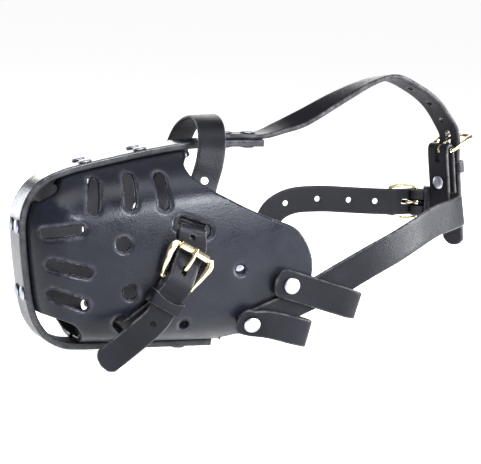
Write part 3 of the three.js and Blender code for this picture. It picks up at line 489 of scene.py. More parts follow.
PANEL_HOLES = [(-24, 79, 4.7), (-18.4, 45, 4.5), (60.3, 60.6, 3.2), (22, 21.4, 3.3)]
RIGHT_HOLES = [(-24, 79, 4.7), (-14.6, 44.4, 4.5), (60.3, 60.6, 3.2), (22, 21.4, 3.3)]
UPPER_SLOT = ((24.5, 91), -0.32, 27, 4.6)
LOWER_SLOT = ((-19, 18), -0.74, 24.4, 4.6)
TOP_CORNER = [(-86.4, 102.8), (-80.2, 104.2), (-73.3, 108.8), (-67, 113.4), (-63.3, 118.5), (-60.4, 124)]
RIGHT_TOP_CORNER = [(-86.4, 107.6), (-82.8, 109), (-78.6, 112), (-75, 115.8), (-72.4, 120.6), (-70.8, 126)]
CHIN_CORNER = [(-86, 29.5), (-79.8, 28.8), (-66, 25.4), (-54.5, 20.4), (-48.8, 12.6), (-47, 6)]
LIP_WIDTH, LIP_DEPTH = 1.8, 1.3     # the moulded bevel round each opening


def slot_ends(at, angle, length, radius):
    half = (length / 2 - radius) * np.array([math.cos(angle), math.sin(angle)])
    return tuple(np.array(at) - half), tuple(np.array(at) + half)


def capsule_outline(a, b, radius, steps=14):
    angle = math.atan2(b[1] - a[1], b[0] - a[0])
    out = []
    for centre, start in ((b, angle - math.pi / 2), (a, angle + math.pi / 2)):
        out += [(centre[0] + radius * math.cos(start + math.pi * k / steps),
                 centre[1] + radius * math.sin(start + math.pi * k / steps)) for k in range(steps + 1)]
    return out


def corner_outline(points, outside):
    curve, _, _ = catmull([(x, 0, z) for x, z in points], 6)
    corner = [(p[0], p[2]) for p in curve]
    return [(-110, outside), (-110, points[0][1]), *corner, (points[-1][0], outside)]


def prism_tool(outline, y_from, y_to):
    n = len(outline)
    vertices = [vec(x, y, z) for y in (y_from, y_to) for x, z in outline]
    faces = [tuple(range(n)), tuple(range(2 * n - 1, n - 1, -1))]
    faces += [(k, (k + 1) % n, n + (k + 1) % n, n + k) for k in range(n)]
    return make_object("tool", vertices, faces)


def panel_shell():
    columns = 78
    front = catmull([(f[0], 0, f[1]) for f, _ in PANEL_RIBS], 11)[0]
    rear = catmull([(r[0], 0, r[1]) for _, r in PANEL_RIBS], 11)[0]
    rows = len(front)
    near, _, inward = nearest_on_spine(front[:, 0], front[:, 2])
    start = near + inward * (SPINE_THICK / 2 + GAP)
    grid = np.zeros((rows, columns + 3, 3))
    for i in range(rows):
        grid[i, 0] = (start[i, 0], -TAB_FROM, start[i, 2])
        grid[i, 1] = (start[i, 0], -TAB_TO * 0.6, start[i, 2])
        grid[i, 2] = (start[i, 0], -TAB_TO, start[i, 2])
        f = (np.arange(1, columns + 1) / columns) ** 1.9
        x = start[i, 0] + (rear[i, 0] - start[i, 0]) * f
        z = start[i, 2] + (rear[i, 2] - start[i, 2]) * f
        grid[i, 3:, 0], grid[i, 3:, 1], grid[i, 3:, 2] = x, -half_width(x, z), z
    along = np.gradient(grid, axis=0)
    over = np.gradient(grid, axis=1)
    normal = np.cross(over, along)
    normal /= np.linalg.norm(normal, axis=2)[:, :, None]
    inner = grid + normal * PANEL_THICK
    width = grid.shape[1]
    back = rows * width
    vertices = list(grid.reshape(-1, 3)) + list(inner.reshape(-1, 3))
    faces = []
    for i in range(rows - 1):
        for j in range(width - 1):
            a, b, c, d = i * width + j, i * width + j + 1, (i + 1) * width + j + 1, (i + 1) * width + j
            faces += [(a, b, c, d), (back + a, back + d, back + c, back + b)]
        for j in (0, width - 1):
            a, d = i * width + j, (i + 1) * width + j
            faces.append((a, d, back + d, back + a))
    for i in (0, rows - 1):
        for j in range(width - 1):
            a, b = i * width + j, i * width + j + 1
            faces.append((a, b, back + b, back + a))
    return make_object("panel", vertices, faces)


def mould_lips(obj, openings):
    """Bevels the leather in round each opening and marks the rims as edges: rubbed leather, lighter in
    colour, and a painted highlight where the bevels catch the light.
    """
    mesh = obj.data
    places = np.zeros(len(mesh.vertices) * 3)
    mesh.vertices.foreach_get("co", places)
    places = places.reshape(-1, 3) / MM
    normals = np.zeros(len(mesh.vertices) * 3)
    mesh.vertices.foreach_get("normal", normals)
    normals = normals.reshape(-1, 3)
    outward = np.clip(-normals[:, 1] * 1.5, 0, 1)
    rim_wear_and_highlight = np.zeros(len(places))
    for a, b, radius, depth in openings:
        a, b = np.array(a), np.array(b)
        span = b - a
        rel = places[:, [0, 2]] - a
        f = np.clip(rel @ span / max(span @ span, 1e-9), 0, 1)
        distance = np.maximum(np.linalg.norm(rel - f[:, None] * span, axis=1) - radius, 0)
        places -= (depth * np.exp(-(distance / LIP_WIDTH) ** 2) * outward)[:, None] * normals
        # a band just outside each opening: a rubbed rim, and a painted highlight along the bevel
        band = np.exp(-((distance - 0.7 * LIP_WIDTH) / (0.8 * LIP_WIDTH)) ** 2)
        rim_wear_and_highlight = np.maximum(rim_wear_and_highlight, 0.8 * band * outward)
    mesh.vertices.foreach_set("co", (places * MM).ravel())
    mesh.attributes.new("edge", "FLOAT", "POINT").data.foreach_set("value", rim_wear_and_highlight)
    mesh.update()


def side_panel(name, vents, holes, top_corner):
    panel = panel_shell()
    ends = [slot_ends(*UPPER_SLOT), slot_ends(*LOWER_SLOT)]
    tools = [prism_tool(capsule_outline(a, b, VENT_RADIUS), -80, 5) for a, b in vents]
    tools.append(prism_tool(capsule_outline(*ends[0], UPPER_SLOT[3]), -80, 5))
    tools.append(prism_tool(capsule_outline(*ends[1], LOWER_SLOT[3]), -80, -15))
    tools.append(prism_tool(corner_outline(top_corner, 150), -80, 5))
    tools.append(prism_tool(corner_outline(CHIN_CORNER, -20), -80, 5))
    tools += [prism_tool(capsule_outline((x, z), (x + 0.01, z), r), -70, -20) for x, z, r in holes]
    cut(panel, tools)
    remesh = panel.modifiers.new("remesh", "REMESH")
    remesh.mode = "VOXEL"
    remesh.voxel_size = VOXEL * MM
    relax = panel.modifiers.new("relax", "SMOOTH")
    relax.factor = 0.5
    relax.iterations = 5
    apply_modifiers(panel)
    openings = [(a, b, VENT_RADIUS, LIP_DEPTH) for a, b in vents]
    openings += [(*ends[0], UPPER_SLOT[3], LIP_DEPTH), (*ends[1], LOWER_SLOT[3], 0.7)]
    openings += [((x, z), (x, z), r, LIP_DEPTH) for x, z, r in holes]
    mould_lips(panel, openings)
    shade(panel, 60)
    panel.name = name
    inward = [min(1, max(0, 4 * v.normal.y - 1)) for v in panel.data.vertices]
    panel.data.attributes.new("flesh", "FLOAT", "POINT").data.foreach_set("value", inward)
    return panel


def side_panels():
    left = side_panel("panel_left_leather", VENTS, PANEL_HOLES, TOP_CORNER)
    finish_piece(left, "side_panel_left", "panel_leather")
    right = side_panel("panel_right_leather", RIGHT_VENTS, RIGHT_HOLES, RIGHT_TOP_CORNER)
    right.data.transform(Matrix.Diagonal((1, -1, 1, 1)))
    right.data.flip_normals()
    finish_piece(right, "side_panel_right", "panel_leather")


# ---- stations, as the CAD model places them ----
def in_plane(x, z, w, width, face=(0, -1, 0)):
    return vec(x, -w, z), vec(*face), width


def on_panel(x, z, lift, width, turn=1):
    at, face = panel_point(x, z, lift)
    return at, face * turn, width


def across(station):
    return mirror(station[0]), mirror(station[1]), station[2]


ANCHOR_LIFT = GAP + 0.6 + COLLAR_THICK / 2
LEG_LIFT = ANCHOR_LIFT + 0.6 + COLLAR_THICK / 2 + GAP + LOOP_THICK / 2
INNER_LIFT = -(PANEL_THICK + GAP + LOOP_THICK / 2)
LOOP_OUT, LOOP_IN = 59.7, 47.2


def fold(x, z, slope):
    middle, half = (LOOP_OUT + LOOP_IN) / 2, (LOOP_OUT - LOOP_IN) / 2
    out = []
    for degrees in (50, 90, 130):
        a = math.radians(degrees)
        face = vec(math.cos(slope), 0, math.sin(slope)) * math.sin(a) + vec(0, -math.cos(a), 0)
        out.append((vec(x, -middle, z) + face * half, face, 20))
    return out


LOOPS = {
    "upper": [
        in_plane(83.5, 53.6, LOOP_OUT, 21), in_plane(98, 49, LOOP_OUT, 21), in_plane(120, 42.3, LOOP_OUT, 21),
        in_plane(141, 35.8, LOOP_OUT, 21), *fold(142.6, 35.3, -0.3),
        in_plane(141, 35.8, LOOP_IN, 21, (0, 1, 0)),
        in_plane(118, 42.9, LOOP_IN, 21, (0, 1, 0)), in_plane(98, 49, LOOP_IN, 21, (0, 1, 0)),
        in_plane(89, 51.8, LOOP_IN, 21, (0, 1, 0))],
    "lower": [
        on_panel(57, 28.6, LEG_LIFT, 20), on_panel(68.7, 25.4, LEG_LIFT, 20),
        in_plane(79, 22.5, 60.1, 20, (0, -1, -0.1)), in_plane(103, 16.4, LOOP_OUT, 20), *fold(105, 16, -0.26),
        in_plane(103, 16.8, LOOP_IN, 20, (0, 1, 0)), in_plane(93, 20.4, 45.4, 19, (0, 1, 0.2)),
        on_panel(80, 23.6, INNER_LIFT - 2.4, 17.4, -1), on_panel(68.7, 25.4, INNER_LIFT - 1.8, 17, -1),
        on_panel(61, 27, INNER_LIFT - 1.6, 18, -1)]}
LOOP_RIVETS = {"upper": (95.5, 49.8), "lower": (68.7, 25.4)}


def side_loops():
    for label, stations in LOOPS.items():
        for side, place in (("left", lambda s: s), ("right", across)):
            piece = sweep(f"loop_{label}_{side}_leather", [place(s) for s in stations], LOOP_THICK,
                          tips=(8.5, 7))
            finish_piece(piece, f"loop_{label}_{side}", "strap_leather")


# ---- rivets ----
def rivet(name, at, direction, grip, cap):
    half = grip / 2 + GAP
    dome = [(0, half + 1.5), (cap * 0.35, half + 1.46), (cap * 0.62, half + 1.32),
            (cap * 0.83, half + 1.05), (cap * 0.95, half + 0.65), (cap, half + 0.3),
            (cap * 0.97, half + 0.05), (cap * 0.9, half), (1.6, half)]
    back = cap * 0.85
    burr = [(1.6, -half - 0.5), (back * 0.92, -half - 0.5), (back, -half - 0.75), (back * 0.9, -half - 1.1),
            (back * 0.55, -half - 1.4), (back * 0.3, -half - 1.2), (0, -half - 1.15)]
    return finish_piece(lathe(name + "_metal", dome + burr, at, direction), name, "rivet_nickel")


def rivets():
    strip = [("top_1", (-42, 130)), ("top_2", (-2, 139)), ("front_1", (-88, 88)), ("front_2", (-83, 41)),
             ("chin_1", (-22, 2.5)), ("chin_2", (30, 2.5))]
    for label, (x, z) in strip:
        near, _, inward = nearest_on_spine(x, z)
        middle = near[0] + inward[0] * (PANEL_THICK + GAP) / 2
        for side, y in (("left", -8), ("right", 8)):
            rivet(f"rivet_{label}_{side}", vec(middle[0], y, middle[2]), -inward[0],
                  SPINE_THICK + GAP + PANEL_THICK, RIVET_CAP)
    for i, x in enumerate(FOREHEAD_RIVETS):
        rivet(f"rivet_forehead_{i + 1}", vec(x, 0, CROWN_Z - GAP / 2 - SPINE_THICK / 2), vec(0, 0, 1),
              SPINE_THICK + GAP + CROWN_THICK, BIG_RIVET_CAP)
    for label, (x, z) in LOOP_RIVETS.items():
        at, face = panel_point(x, z)
        direction = vec(0, -1, 0) if label == "upper" else face
        outer = LEG_LIFT + LOOP_THICK / 2 + (0.9 if label == "lower" else 0)
        inner = -INNER_LIFT + LOOP_THICK / 2 + (2.6 if label == "lower" else 1)
        middle = at + direction * (outer - inner) / 2
        rivet(f"rivet_loop_{label}_left", middle, direction, outer + inner, BIG_RIVET_CAP)
        rivet(f"rivet_loop_{label}_right", mirror(middle), mirror(direction), outer + inner, BIG_RIVET_CAP)


# ---- buckle frames of reference: x along the hinge bar, y to the outer bar, z outwards ----
def seat_at(at, toward, out):
    along = unit(toward)
    up = unit(out - along * out.dot(along))
    return np.array([np.cross(along, up), along, up, at])


def placed(seat, local):
    return seat[3] + local[0] * seat[0] + local[1] * seat[1] + local[2] * seat[2]


def turned(seat, local):
    return unit(local[0] * seat[0] + local[1] * seat[1] + local[2] * seat[2])


def fold_radius(thickness):
    return WIRE + 0.4 + thickness / 2


def folded_end(seat, t, width, reach):
    r = fold_radius(t)
    low = -r + t + 0.5
    line = [(-reach, low, 0, -1), (-12, low, 0, -1), (-8, low + 0.3, 0, -1), (-2, r - 0.4, 0.15, -1),
            (0.6, r, -0.2, -1), (r * 0.77, r * 0.64, -0.77, -0.64), (r, 0, -1, 0),
            (r * 0.77, -r * 0.64, -0.77, 0.64), (0.6, -r, -0.2, 1), (-3, -r, 0, 1), (-12, -r, 0, 1),
            (-reach, -r, 0, 1)]
    return [(placed(seat, (0, y, h)), turned(seat, (0, fy, fh)), width) for y, h, fy, fh in line]


def tongue_run(seat, t, width, length, bar, reach):
    r = fold_radius(t)
    under = -(bar + 0.4 + t / 2)
    over = r + t + 0.6
    rest = -r + 2 * t + 1.1
    line = [(length + 1, under), (length - 4, under + 0.5), (length * 0.5, (under + over) / 2 - 0.6),
            (2.5, over - 0.5), (-1, over), (-5, over - 1.2), (-10.5, rest), (-reach, rest)]
    return [(placed(seat, (0, y, h)), turned(seat, (0, 0, 1)), width) for y, h in line]


NOSE_LENGTH, COLLAR_FRAME, CROWN_REACH = 25, 21, 23
nose_seat = seat_at(panel_point(11.5, 53.2, 7.7)[0], vec(0.486, -0.045, 0.874), vec(0, -1, 0))
collar_seat = seat_at(vec(236.5, 35.5, 97), vec(-0.93, 0.37, 0), vec(0.37, 0.93, 0))
LEAN = math.radians(8)
rear_out = vec(0.9325 * math.cos(LEAN), 0.361 * math.cos(LEAN), math.sin(LEAN))
rear_up = vec(-0.9325 * math.sin(LEAN), -0.361 * math.sin(LEAN), math.cos(LEAN))
rear_middle = vec(250.5, 16.5, 96.3)
CONNECTOR_TOP, CONNECTOR_BOTTOM, CONNECTOR_RIVET = 44, -12.3, 19


def rear_point(up, out):
    return rear_middle + rear_up * up + rear_out * out


crown_seat = seat_at(rear_point(CONNECTOR_TOP, 0), rear_out * 23.4 + rear_up * 7.6, rear_up)
keeper_seat = seat_at(rear_point(34, 9.2), rear_up, rear_out)
FOREHEAD_RIVETS = (64, 82)
CROWN_Z = 146.3 + SPINE_THICK / 2 + GAP + CROWN_THICK / 2
STRAP_LIFT = GAP + 0.5 + STRAP_THICK / 2
LEG_INSIDE = -(PANEL_THICK + GAP + 0.5 + STRAP_THICK / 2)


def fold_slot(seat, thickness):
    top = fold_radius(thickness) + thickness / 2 + 0.1
    low = np.array([*seat[:3], placed(seat, (0, 0, (top - 7.5) / 2))])
    return box_tool(low, (5, 15, 7.5 + top))


# ---- nose strap ----
def slot_pass(slot, above, below, width):
    (x, z), angle = slot[0], slot[1]
    down = vec(math.sin(angle), 0, -math.cos(angle))

    def beside(step, lift):
        at, face = panel_point(x + down[0] * step, z + down[2] * step, lift)
        return at, face, width

    def through(lift, face):
        return panel_point(x, z)[0] + vec(0, -lift, 0), face, width

    return down, beside(-4.4, above), beside(4.4, below), through


def nose_stations():
    up_down, up_above, up_below, up_through = slot_pass(UPPER_SLOT, LEG_INSIDE, STRAP_LIFT, NOSE_WIDTH)
    low_down, low_above, _, low_through = slot_pass(LOWER_SLOT, STRAP_LIFT, LEG_INSIDE, NOSE_WIDTH)
    w = NOSE_WIDTH
    through_lower = [low_above, low_through(-1, low_down), low_through(-6, low_down)]
    leg = [up_above, on_panel(29.2, 104, LEG_INSIDE, w), in_plane(32.4, 113, 41.6, w, (-0.12, -1, 0.15)),
           in_plane(36, 122.5, 38.6, w, (-0.25, -1, 0.2)), in_plane(39.6, 134, 37.4, w, (-0.25, -1, 0)),
           in_plane(42, 145, 34.6, w, (-0.2, -1, 0.4)), in_plane(44, 154.5, 28, w, (-0.15, -0.8, 0.6)),
           in_plane(46, 161.5, 16.5, w, (-0.1, -0.45, 1)), in_plane(47.2, 164.6, 0, w, (-0.05, 0, 1))]
    through_upper = [up_below, up_through(-0.2, -up_down), up_through(-4, -up_down)]
    far = [on_panel(-12.4, 24.8, STRAP_LIFT, w), on_panel(-5, 34, STRAP_LIFT, w),
           on_panel(6, 53, STRAP_LIFT, w), on_panel(17, 73, STRAP_LIFT, w)]
    tilt = vec(low_down[0], 0, low_down[2])
    return [
        *folded_end(nose_seat, STRAP_THICK, w, 22), on_panel(-4.5, 29.5, STRAP_LIFT + 0.6, w),
        on_panel(-11, 24.6, STRAP_LIFT, w), *through_lower, (vec(-19, -22, 18), tilt, w),
        (vec(-17.5, 0, 17.6), vec(-0.31, 0, -0.95), w), (vec(-19, 22, 18), tilt, w),
        *[across(s) for s in reversed(through_lower)], *[across(s) for s in far],
        *[across(s) for s in through_upper], *[across(s) for s in leg], *reversed(leg[:-1]),
        *reversed(through_upper), *tongue_run(nose_seat, STRAP_THICK, w, NOSE_LENGTH, ROLLER_RADIUS, 21),
        in_plane(-3.4, 28.6, 58.6, w), in_plane(-14.4, 19, 58.6, w), in_plane(-26, 9.8, 58.4, w),
        in_plane(-36, 2.2, 58.2, w), in_plane(-42.8, -3.2, 58.2, w)]


def prong_hole(seat, y, height, length, tilt):
    """An oblong prong hole through a strap lying across the prong."""
    tools = []
    for step in (-length / 2, 0, length / 2):
        at = placed(seat, (0, y + step, height))
        axis = turned(seat, (0, tilt, 1))
        tools.append(lathe("tool", [(0, -6), (2.1, -6), (2.1, 6), (0, 6)], at, axis, 20))
    return tools


def nose_strap():
    piece = sweep("nose_strap_leather", nose_stations(), STRAP_THICK, tips=(3, 9), per_span=8)
    tools = [fold_slot(nose_seat, STRAP_THICK), *prong_hole(nose_seat, 9.2, 1.5, 4.4, 0.5),
             punch_tool(*panel_point(23, 84, STRAP_LIFT), 1.9, STRAP_THICK, reach=0.6),
             punch_tool(vec(-6.6, -58.6, 25), vec(0, 1, 0), 2.2, STRAP_THICK),
             punch_tool(vec(36, -38.6, 122.3), vec(0.25, 1, -0.2), 2.8, STRAP_THICK)]
    finish_piece(cut(piece, tools), "nose_strap", "strap_leather")


# ---- neck strap ----
def neck(x, z, w, fx, fy, fz=0, width=COLLAR_WIDTH):
    return vec(x, -w, z), vec(fx, fy, fz), width


def collar():
    anchored = [on_panel(59, 22.6, ANCHOR_LIFT, 17), on_panel(63.5, 23.8, ANCHOR_LIFT, 17),
                on_panel(78, 27.8, ANCHOR_LIFT, 18)]
    side = vec(-0.361, 0.9325, 0)
    near = [
        *anchored, neck(98, 35, 56, 0, -1, 0, 19.5), neck(113, 42, 56, 0, -1, 0, 21),
        neck(134, 52.6, 56.2, 0, -1), neck(157, 64.8, 56, 0.1, -1), neck(180, 75, 51.5, 0.3, -1, 0.05),
        neck(200, 83.5, 43.5, 0.5, -0.9, 0.08),
        neck(221, 90.5, 31, 0.6, -0.8, 0.1), neck(241.5, 94, 18, 0.8, -0.6, 0.13),
        neck(253.5, 95.6, 7, 0.85, -0.45, 0.14),
        *[(rear_middle + side * step, rear_out, width) for step, width in
          ((-15.5, 23), (-10.5, 23), (0, 23), (8, 22), (10.8, 21), (13.5, 20))],
        *folded_end(collar_seat, COLLAR_THICK, 20, 10)[:-1][::-1][1:]]
    piece = sweep("collar_strap_leather", near, COLLAR_THICK, tips=(8, 2))
    finish_piece(cut(piece, [fold_slot(collar_seat, COLLAR_THICK)]), "collar_strap", "strap_leather")
    tongue = [
        *[across(s) for s in anchored], neck(92, 31.5, -55.8, 0, 1, 0, 19), neck(104, 36.8, -56, 0, 1, 0, 19),
        neck(112.5, 45, -56, 0, 1, 0, 20), neck(118.2, 58, -56, 0, 1, 0, 20),
        neck(120.5, 73, -55.8, 0, 1, 0, 20),
        *[neck(x, z, -w, 0.12, 1, 0, 20) for x, z, w in
          ((125.5, 88, 55), (138.5, 96.2, 53.4), (160, 98.6, 50.2), (183, 98, 46.4), (198, 97.4, 43.4))],
        *tongue_run(collar_seat, COLLAR_THICK, 20, COLLAR_FRAME, WIRE, 12.5)]
    piece = sweep("collar_tongue_leather", tongue, COLLAR_THICK, tips=(8, 4))
    tools = [punch_tool(vec(x, y, z), vec(0.12, 1, 0), 2.2, COLLAR_THICK)
             for x, y, z in ((135.2, 53.9, 95), (159.7, 50.2, 98.6), (184, 46.2, 98), (205, 43.9, 97.2))]
    tools += prong_hole(collar_seat, 9.5, 2, 4, 0.5)
    finish_piece(cut(piece, tools), "collar_tongue", "strap_leather")


# ---- strap over the head ----
def crown_stations():
    w = CROWN_WIDTH
    line = [(50, 0, CROWN_Z, 0, 0, 1), (54, 0, CROWN_Z, 0, 0, 1), (72, 0, CROWN_Z, 0, 0, 1),
            (92, 0, CROWN_Z + 0.6, -0.05, -0.04, 1), (107, 0.5, 156.6, -0.35, -0.22, 1),
            (123, 1, 162.8, -0.42, -0.42, 0.85), (153.8, 3.5, 178.8, -0.45, -0.25, 0.85),
            (181.4, 7.5, 190.8, -0.22, 0.04, 0.97), (199, 10.5, 193.6, 0.05, 0.16, 1),
            (217.7, 14, 186.6, 0.6, 0.24, 0.78), (235.4, 17, 175.6, 0.75, 0.3, 0.62),
            (247, 18.6, 162.4, 0.86, 0.33, 0.4)]
    rear = [(54, 10.4), (46, 9.8), (34, 9.2), (10, 8.8), (-12, 8.8), (-27, 8.8), (-32, 8.8)]
    return ([(vec(x, y, z), vec(fx, fy, fz), w) for x, y, z, fx, fy, fz in line]
            + [(rear_point(up, out), rear_out, w) for up, out in rear])


def crown_strap():
    stations = crown_stations()
    piece = sweep("crown_strap_leather", stations, CROWN_THICK, tips=(4, 9), per_span=9)
    tools = []
    for place in (9, 10, 11, 14.7, 15.7):
        at, face = at_place(stations, place)
        tools.append(punch_tool(at, face, 2.1, CROWN_THICK))
    tools += [lathe("tool", [(0, -6), (2.6, -6), (2.6, 6), (0, 6)], placed(crown_seat, (0, 10.2, 3 + lift)),
                    turned(crown_seat, (0, 1, -0.35)), 20) for lift in (-1.6, 0, 1.6, 3.2, 4.8)]
    finish_piece(cut(piece, tools), "crown_strap", "strap_leather")


def connector():
    r = fold_radius(STRAP_THICK)
    side = np.cross(rear_up, rear_out)
    loop = []
    for up, out, fu, fo in (
            (20, r, 0, 1), (CONNECTOR_TOP - 3, r, 0, 1), (CONNECTOR_TOP + r * 0.7, r * 0.7, 0.7, 0.7),
            (CONNECTOR_TOP + r, 0, 1, 0), (CONNECTOR_TOP + r * 0.7, -r * 0.7, 0.7, -0.7),
            (CONNECTOR_TOP - 3, -r, 0, -1), (20, -r, 0, -1), (CONNECTOR_BOTTOM + 3, -r, 0, -1),
            (CONNECTOR_BOTTOM - r * 0.7, -r * 0.7, -0.7, -0.7), (CONNECTOR_BOTTOM - r, 0, -1, 0),
            (CONNECTOR_BOTTOM - r * 0.7, r * 0.7, -0.7, 0.7), (CONNECTOR_BOTTOM + 3, r, 0, 1),
            (19.9, r, 0, 1)):
        loop.append((rear_point(up, out), unit(rear_up * fu + rear_out * fo), 20))
    loop[-1] = (rear_point(20.6, r), rear_out, 20)
    piece = sweep("connector_leather", loop, STRAP_THICK, per_span=6)
    tools = [fold_slot(crown_seat, STRAP_THICK)]
    finish_piece(cut(piece, tools), "connector", "strap_leather")
    rivet("rivet_connector", rear_point(CONNECTOR_RIVET, 0), -rear_out, 2 * r + STRAP_THICK, RIVET_CAP)


# ---- buckles ----
def tube(name, points, radii, flat=1.0, seat=None, per_span=8, ring=20):
    """A closed bar of varying radius through local points, flattened along the seat's z by flat."""
    line, slopes, places = catmull(points, per_span)
    vertices = []
    for p, t, place in zip(line, slopes, places):
        k = min(len(points) - 2, int(place))
        radius = radii[k] + (radii[k + 1] - radii[k]) * smooth(place - k)
        up = vec(0, 0, 1) - t * t[2]
        up = unit(up) if np.linalg.norm(up) > 0.05 else vec(1, 0, 0)
        side = np.cross(t, up)
        for a in np.linspace(0, 2 * math.pi, ring, endpoint=False):
            vertices.append(placed(seat, p + radius * (side * math.cos(a) + up * flat * math.sin(a))))
    rings = len(line)
    faces = [(i * ring + k, (i + 1) * ring + k, (i + 1) * ring + (k + 1) % ring, i * ring + (k + 1) % ring)
             for i in range(rings - 1) for k in range(ring)]
    faces += [tuple(range(ring)), tuple((rings - 1) * ring + k for k in range(ring))]
    return make_object(name, vertices, faces)


def merged(name, parts):
    """Joins closed parts into one piece."""
    for other in parts[1:]:
        step = parts[0].modifiers.new("join", "BOOLEAN")
        step.operation = "UNION"
        step.object = other
        step.solver = "EXACT"
    apply_modifiers(parts[0])
    for other in parts[1:]:
        bpy.data.objects.remove(other)
    parts[0].name = name
    shade(parts[0], 40)
    return parts[0]


def buckle(prefix, seat, half, outer_half, length, prong_line, flare):
    body = f"{prefix}_frame"
    w = WIRE

    def arm(side):
        line = [(half - 3, 0, 0), (half - 0.6, 0.3, 0), (half, 2.5, 0),
                ((half + outer_half) / 2 + 0.6, length * 0.5, 0.5), (outer_half + 0.2, length - 4.6, 0.4),
                (outer_half - 1.2, length - 0.9, 0), (outer_half - 4, length, 0)]
        radii = [w, w, w * 0.95, w * (1 + flare) / 2, w * flare, w * flare * 0.85, w]
        return tube("arm", [(side * x, y, h) for x, y, h in line], radii, flat=0.8, seat=seat)

    def bar(y, reach):
        return tube("bar", [(-reach, y, 0), (0, y, 0), (reach, y, 0)], [w, w, w], seat=seat)

    bars = [arm(-1), arm(1), bar(0, half - 2), bar(length, outer_half - 2)]
    frame_piece = merged(f"{prefix}_frame_metal", bars)
    finish_piece(frame_piece, f"{prefix}_buckle_frame", "buckle_brass", body)
    ring = lathe("ring", [(w + 0.35, -1.6), (w + 1.3, -1.6), (w + 1.5, -1.3), (w + 1.5, 1.3), (w + 1.3, 1.6),
                          (w + 0.35, 1.6)], seat[3], seat[0], closed=True)
    points = [(0, y, h) for y, h in prong_line]
    rod = tube("rod", points, [1.3, 1.3, 1.4, 1.5, 0.9][:len(points) - 1] + [0.9], flat=0.72, seat=seat)
    finish_piece(merged(f"{prefix}_prong_metal", [ring, rod]), f"{prefix}_buckle_prong", "buckle_brass",
                 f"{prefix}_prong")


def buckles():
    buckle("nose", nose_seat, 12.6, 15.6, NOSE_LENGTH,
           prong_line=[(2.4, 0), (7, 0.4), (12, 3.8), (18, 4.9), (28, 4.4)], flare=2.0)
    buckle("collar", collar_seat, 11.9, 11.9, COLLAR_FRAME,
           prong_line=[(2.4, 0), (6, 0.2), (11, 3), (16, 3.4), (23, 3.2)], flare=1.1)
    buckle("crown", crown_seat, 12.6, 12.6, CROWN_REACH,
           prong_line=[(2.4, 0.6), (8, 2.6), (14, 3.2), (25, 3)], flare=1.45)
    r = ROLLER_RADIUS + 0.25
    roller = lathe("nose_roller_metal", [(WIRE + 0.35, -11.6), (r - 0.3, -11.6), (r, -11.3), (r, 11.3),
                                         (r - 0.3, 11.6), (WIRE + 0.35, 11.6)],
                   placed(nose_seat, (0, NOSE_LENGTH, 0)), nose_seat[0], closed=True)
    finish_piece(roller, "nose_buckle_roller", "buckle_brass", "nose_roller")


# ---- keepers ----
def sag_front_edge(piece, seat, half, middle, y_middle, reach, sag):
    """Lets the middle of a loose keeper's buckle-side edge hang back along the strap."""
    for vertex in piece.data.vertices:
        rel = np.array(vertex.co) / MM - seat[3]
        x, y, h = rel @ seat[0], rel @ seat[1], rel @ seat[2]
        if h > middle:
            amount = sag * max(0, 1 - (x / half) ** 2) * (y - y_middle + reach) / (2 * reach)
            vertex.co -= Vector(seat[1] * amount * MM)
    piece.data.update()


def keeper(prefix, seat, half, low, high, start, end, wall=1.5, bow=0.0):
    """A closed leather band round the layers of a strap."""
    corner = 1.6
    middle, rise = (low + high) / 2, (high - low) / 2
    path = []
    for sx, sz, a0 in ((1, 1, 0), (-1, 1, 90), (-1, -1, 180), (1, -1, 270)):
        for a in (0, 45, 90):
            a = math.radians(a0 + a)
            path.append((sx * (half + wall / 2 - corner) + corner * math.cos(a),
                         sz * (rise + wall / 2 - corner) + corner * math.sin(a), math.cos(a), math.sin(a)))
    y = (start + end) / 2
    path.insert(3, (0, rise + wall / 2 + bow, 0, 1))
    stations = [(placed(seat, (x, y, middle + h)), turned(seat, (fx, 0, fh)), abs(end - start))
                for x, h, fx, fh in path]
    last = stations[0]
    stations.append((last[0] + (stations[-1][0] - last[0]) * 0.04, last[1], last[2]))
    piece = sweep(f"{prefix}_keeper_leather", stations, wall, per_span=5)
    if bow:
        sag_front_edge(piece, seat, half, middle, y, abs(end - start) / 2, 2 * bow)
    finish_piece(piece, f"{prefix}_keeper", "strap_leather", f"{prefix}_keeper")


def keepers():
    r, t = fold_radius(STRAP_THICK), STRAP_THICK
    keeper("nose", nose_seat, NOSE_WIDTH / 2 + 1.2, -r - t / 2 - GAP, -r + 2.5 * t + 1.3 + GAP,
           -10.8, -20.6, bow=1.4)
    r, t = fold_radius(COLLAR_THICK), COLLAR_THICK
    keeper("collar", collar_seat, 11, -r - t / 2 - 0.8, r + 1.5 * t, -5.4, -9.6)
    keeper("crown", keeper_seat, CROWN_WIDTH / 2 + 0.6, -CROWN_THICK / 2 - 0.6, CROWN_THICK / 2 + 0.6, -9, 0)


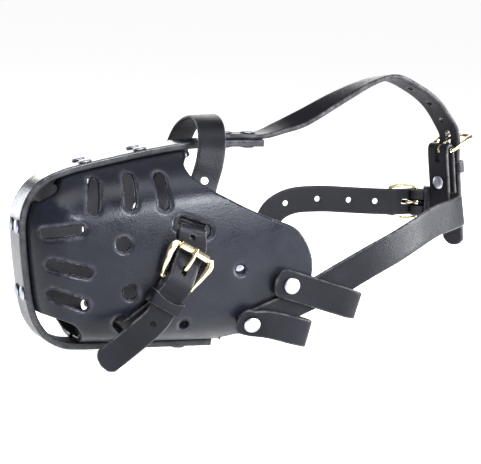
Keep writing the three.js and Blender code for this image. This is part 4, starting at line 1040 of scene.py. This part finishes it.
# ---- stage, lights and camera ----
def stage():
    floor = make_object("floor", [vec(-9000, -6000, -7.6), vec(9000, -6000, -7.6), vec(90000, 90000, -7.6),
                                  vec(-90000, 90000, -7.6)], [(0, 1, 2, 3)])
    material, tree, shader, node, noise, _ = nodes_of("floor_paper")
    tree.links.new(blend_colours(node, tree, noise(3), (0.93, 0.93, 0.94), (0.95, 0.95, 0.96)),
                   shader.inputs["Base Color"])
    shader.inputs["Emission Color"].default_value = (1, 1, 1, 1)
    shader.inputs["Emission Strength"].default_value = 0.7
    shader.inputs["Roughness"].default_value = 0.9
    floor.data.materials.append(material)
    floor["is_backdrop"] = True
    world = bpy.data.worlds.new("studio")
    world.use_nodes = True
    world.node_tree.nodes["Background"].inputs["Color"].default_value = (1, 1, 1, 1)
    world.node_tree.nodes["Background"].inputs["Strength"].default_value = 0.28
    bpy.context.scene.world = world
    bpy.context.scene.view_settings.view_transform = "Standard"


def light(name, at, target, size, power, colour=(1, 1, 1)):
    data = bpy.data.lights.new(name, "AREA")
    data.shape = "RECTANGLE"
    data.size, data.size_y = size
    data.energy = power
    data.color = colour
    lamp = bpy.data.objects.new(name, data)
    bpy.context.scene.collection.objects.link(lamp)
    lamp.location = Vector(at)
    lamp.rotation_euler = (Vector(target) - Vector(at)).to_track_quat("-Z", "Y").to_euler()


def lights():
    light("softbox_over", (0.24, -1.25, 0.72), (-0.02, -0.03, 0.08), (0.5, 0.6), 34, (0.90, 0.945, 1))
    light("softbox_top", (0.0, -0.2, 1.2), (0.05, 0, 0.08), (0.9, 0.6), 8, (0.95, 0.97, 1))
    light("softbox_back", (0.55, 1.9, 0.85), (0, 0, 0.13), (1.5, 0.7), 16)
    light("softbox_nose", (-0.85, 1.9, 0.25), (-0.08, 0, 0.07), (0.9, 0.9), 15, (0.90, 0.945, 1))
    light("softbox_neck", (1.15, -0.45, 0.3), (0.2, 0, 0.09), (0.4, 0.5), 46, (0.95, 0.97, 1))


def camera():
    data = bpy.data.cameras.new("camera")
    data.sensor_fit = "HORIZONTAL"
    data.sensor_width = 36
    data.lens = 160.9
    eye = bpy.data.objects.new("camera", data)
    bpy.context.scene.collection.objects.link(eye)
    right, up = Vector((0.93453, -0.35440, 0.03248)), Vector((0.01372, 0.12706, 0.99180))
    back = right.cross(up).normalized()
    turn = Matrix((right, up, back)).transposed().to_4x4()
    eye.matrix_world = Matrix.Translation(Vector((-477.49, -1449.68, 273.95)) * MM) @ turn
    data.clip_end = 300
    bpy.context.scene.camera = eye


camera()
stage()
lights()
centre_strip()
side_panels()
side_loops()
rivets()
nose_strap()
collar()
crown_strap()
connector()
buckles()
keepers()
corners = lambda box: [list(map(float, corner)) for corner in box]
{"cad": corners(cad_bounds), "visual": corners(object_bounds())}
